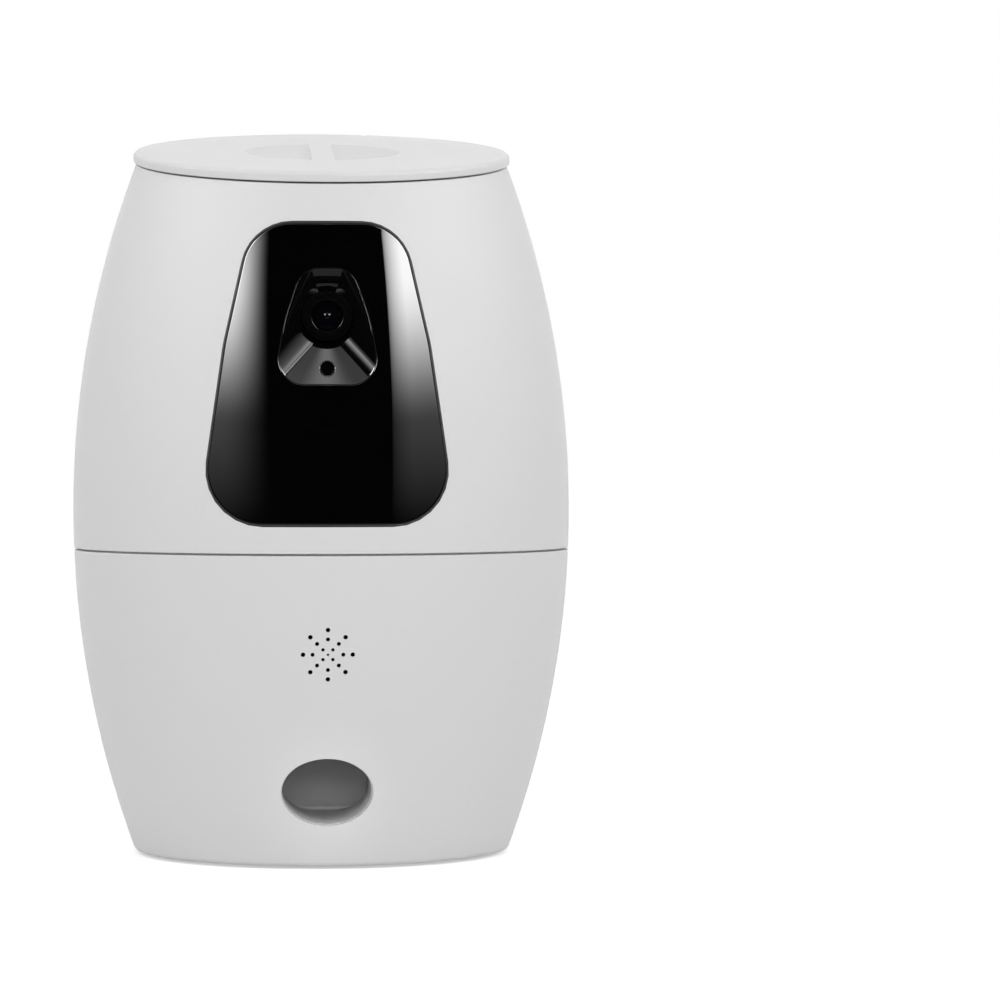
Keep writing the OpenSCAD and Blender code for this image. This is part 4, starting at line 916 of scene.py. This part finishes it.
# %% Narrow lamps for the outlet
NARROW_WATTS, NARROW_COUNT, NARROW_DISTANCE, NARROW_RISE = 1.4, 12, 1.5, 12.0
NARROW_ANGLE, NARROW_SPREAD, NARROW_RADIUS = 1.25, 0.14, 0.015
OUTLET = Vector((0.0, -0.078, 0.0245))
GOLDEN_ANGLE = math.pi * (3 - math.sqrt(5))
rise_angle = math.radians(NARROW_RISE)
toward = Vector((0.0, -math.cos(rise_angle), math.sin(rise_angle)))
upward = Vector((0.0, math.sin(rise_angle), math.cos(rise_angle)))
for index in range(NARROW_COUNT):
    data = bpy.data.lights.new(f"narrow lamp {index}", "SPOT")
    data.energy, data.spot_size, data.spot_blend = NARROW_WATTS, math.radians(NARROW_ANGLE), 1.0
    data.shadow_soft_size = NARROW_RADIUS
    lamp = bpy.data.objects.new(f"narrow lamp {index}", data)
    out, around = NARROW_SPREAD * math.sqrt((index + 0.5) / NARROW_COUNT), index * GOLDEN_ANGLE
    offset = toward * NARROW_DISTANCE + upward * out * math.sin(around)
    offset += Vector((out * math.cos(around), 0.0, 0.0))
    lamp.location = OUTLET + offset
    lamp.rotation_euler = offset.to_track_quat("Z", "Y").to_euler()
    lamp.visible_glossy = False
    bpy.context.scene.collection.objects.link(lamp)
print("narrow lamps:", NARROW_COUNT)

# %% [markdown]
# ## The card that reflections see
#
# The polished window and the funnel show what stands round the object. The card
# is bent round its front and glows by azimuth and by height: two soft boxes that
# lean outwards, a ceiling with a brighter strip in the middle for the funnel's
# lower facet, and a faint glow from the table for its upper one. Neither the
# camera nor the matt surfaces see it.

# %% Reflection card
CARD_R, CARD_STEPS = 2.4, 96
CARD_Z0, CARD_Z1 = -4.4, 4.6


def bend_card(name, start_deg, end_deg, steps):
    """A tall card bent round the object between two azimuths from the front."""
    mesh = bpy.data.meshes.new(name)
    bm = bmesh.new()
    uv = bm.loops.layers.uv.new("across")
    columns = []
    for i in range(steps + 1):
        a = math.radians(start_deg + (end_deg - start_deg) * i / steps)
        low = bm.verts.new((CARD_R * math.sin(a), -CARD_R * math.cos(a), CARD_Z0))
        high = bm.verts.new((CARD_R * math.sin(a), -CARD_R * math.cos(a), CARD_Z1))
        columns.append((low, high))
    for i, (near, far) in enumerate(zip(columns, columns[1:])):
        face = bm.faces.new((near[0], far[0], far[1], near[1]))
        for loop, (u, v) in zip(face.loops, ((i, 0), (i + 1, 0), (i + 1, 1), (i, 1))):
            loop[uv].uv = (u / steps, v)
    bm.to_mesh(mesh)
    bm.free()
    card = bpy.data.objects.new(name, mesh)
    bpy.context.scene.collection.objects.link(card)
    for kind in ("camera", "diffuse", "shadow", "transmission", "volume_scatter"):
        setattr(card, f"visible_{kind}", False)
    return card


CARD_FROM, CARD_TO = -120, 120
BOXES = [
    # where the box begins, where it is full, where it ends, power of the ramp, strength, slant
    (32.0, 42.0, 100.0, 0.5, 23.0, 5.0),
    (-27.0, -53.0, -100.0, 1.0, 26.0, 14.0),
]
# heights on the card are the tangent of the elevation
BOX_LOW, BOX_HIGH, BOX_TOP, BOX_GLOW, SLANT_UP = 0.21, 0.59, 0.98, 0.045, 0.42
BOX_FADE, TOP_FADE = 3.0, 0.06
CEILING_FADE, CEILING_GLOW = 0.1, 0.62
STRIP_AT, STRIP_GLOW, STRIP_FROM, STRIP_TO = 2.6, 4.2, 0.5, 5.0
TABLE_FROM, TABLE_TO, TABLE_GLOW = -0.42, -0.3, 0.3
card = bend_card("studio_card", CARD_FROM, CARD_TO, CARD_STEPS)
card_finish = bpy.data.materials.new("studio_card")
card_finish.use_nodes = True
tree = card_finish.node_tree
tree.nodes.clear()


split = tree.nodes.new("ShaderNodeSeparateXYZ")
tree.links.new(tree.nodes.new("ShaderNodeTexCoord").outputs["UV"], split.inputs[0])
azimuth = add_ramp(tree, split.outputs["X"], 0.0, 1.0, CARD_FROM, CARD_TO, "LINEAR")
up = add_math(tree, "MULTIPLY", split.outputs["Y"], (CARD_Z1 - CARD_Z0) / CARD_R)
up = add_math(tree, "ADD", up, CARD_Z0 / CARD_R)
rise = add_math(
    tree, "ADD",
    add_ramp(tree, up, BOX_LOW, BOX_HIGH, 0.0, 1.0 - BOX_GLOW),
    add_ramp(tree, up, 0.0, BOX_LOW, 0.0, BOX_GLOW, "LINEAR"),
)
rise = add_math(tree, "MULTIPLY", rise, add_ramp(tree, up, BOX_TOP, BOX_TOP + TOP_FADE, 1.0, 0.0))
ceiling = add_ramp(tree, up, BOX_TOP, BOX_TOP + CEILING_FADE, 0.0, CEILING_GLOW)
off_middle = add_math(tree, "ABSOLUTE", add_math(tree, "SUBTRACT", azimuth, STRIP_AT))
strip = add_ramp(tree, off_middle, STRIP_FROM, STRIP_TO, STRIP_GLOW, 1.0)
ceiling = add_math(tree, "MULTIPLY", ceiling, strip)
total = None
for begins, full, ends, power, strength, slant in BOXES:
    sign = 1 if full > 0 else -1
    signed = add_math(tree, "MULTIPLY", azimuth, float(sign))
    lean = add_math(tree, "MULTIPLY", add_math(tree, "SUBTRACT", up, SLANT_UP), slant)
    signed = add_math(tree, "SUBTRACT", signed, lean)
    kind = "LINEAR" if power < 1 else "SMOOTHSTEP"
    enter = add_ramp(tree, signed, sign * begins, sign * full, kind=kind)
    enter = add_math(tree, "POWER", enter, power)
    leave = add_ramp(tree, signed, sign * ends - BOX_FADE, sign * ends + BOX_FADE, 1.0, 0.0)
    band = add_math(tree, "MULTIPLY", add_math(tree, "MULTIPLY", enter, leave), strength)
    total = band if total is None else add_math(tree, "ADD", total, band)
glow = tree.nodes.new("ShaderNodeEmission")
shine = add_math(tree, "ADD", add_math(tree, "MULTIPLY", total, rise), ceiling)
shine = add_math(tree, "ADD", shine, add_ramp(tree, up, TABLE_FROM, TABLE_TO, TABLE_GLOW, 0.0))
tree.links.new(shine, glow.inputs["Strength"])
tree.links.new(glow.outputs[0], tree.nodes.new("ShaderNodeOutputMaterial").inputs[0])
card.data.materials.append(card_finish)
print("card faces:", len(card.data.polygons))

# %% [markdown]
#
# The last step sets the colour view transform to Standard.

# %% Set the view transform
bpy.context.scene.view_settings.view_transform = "Standard"
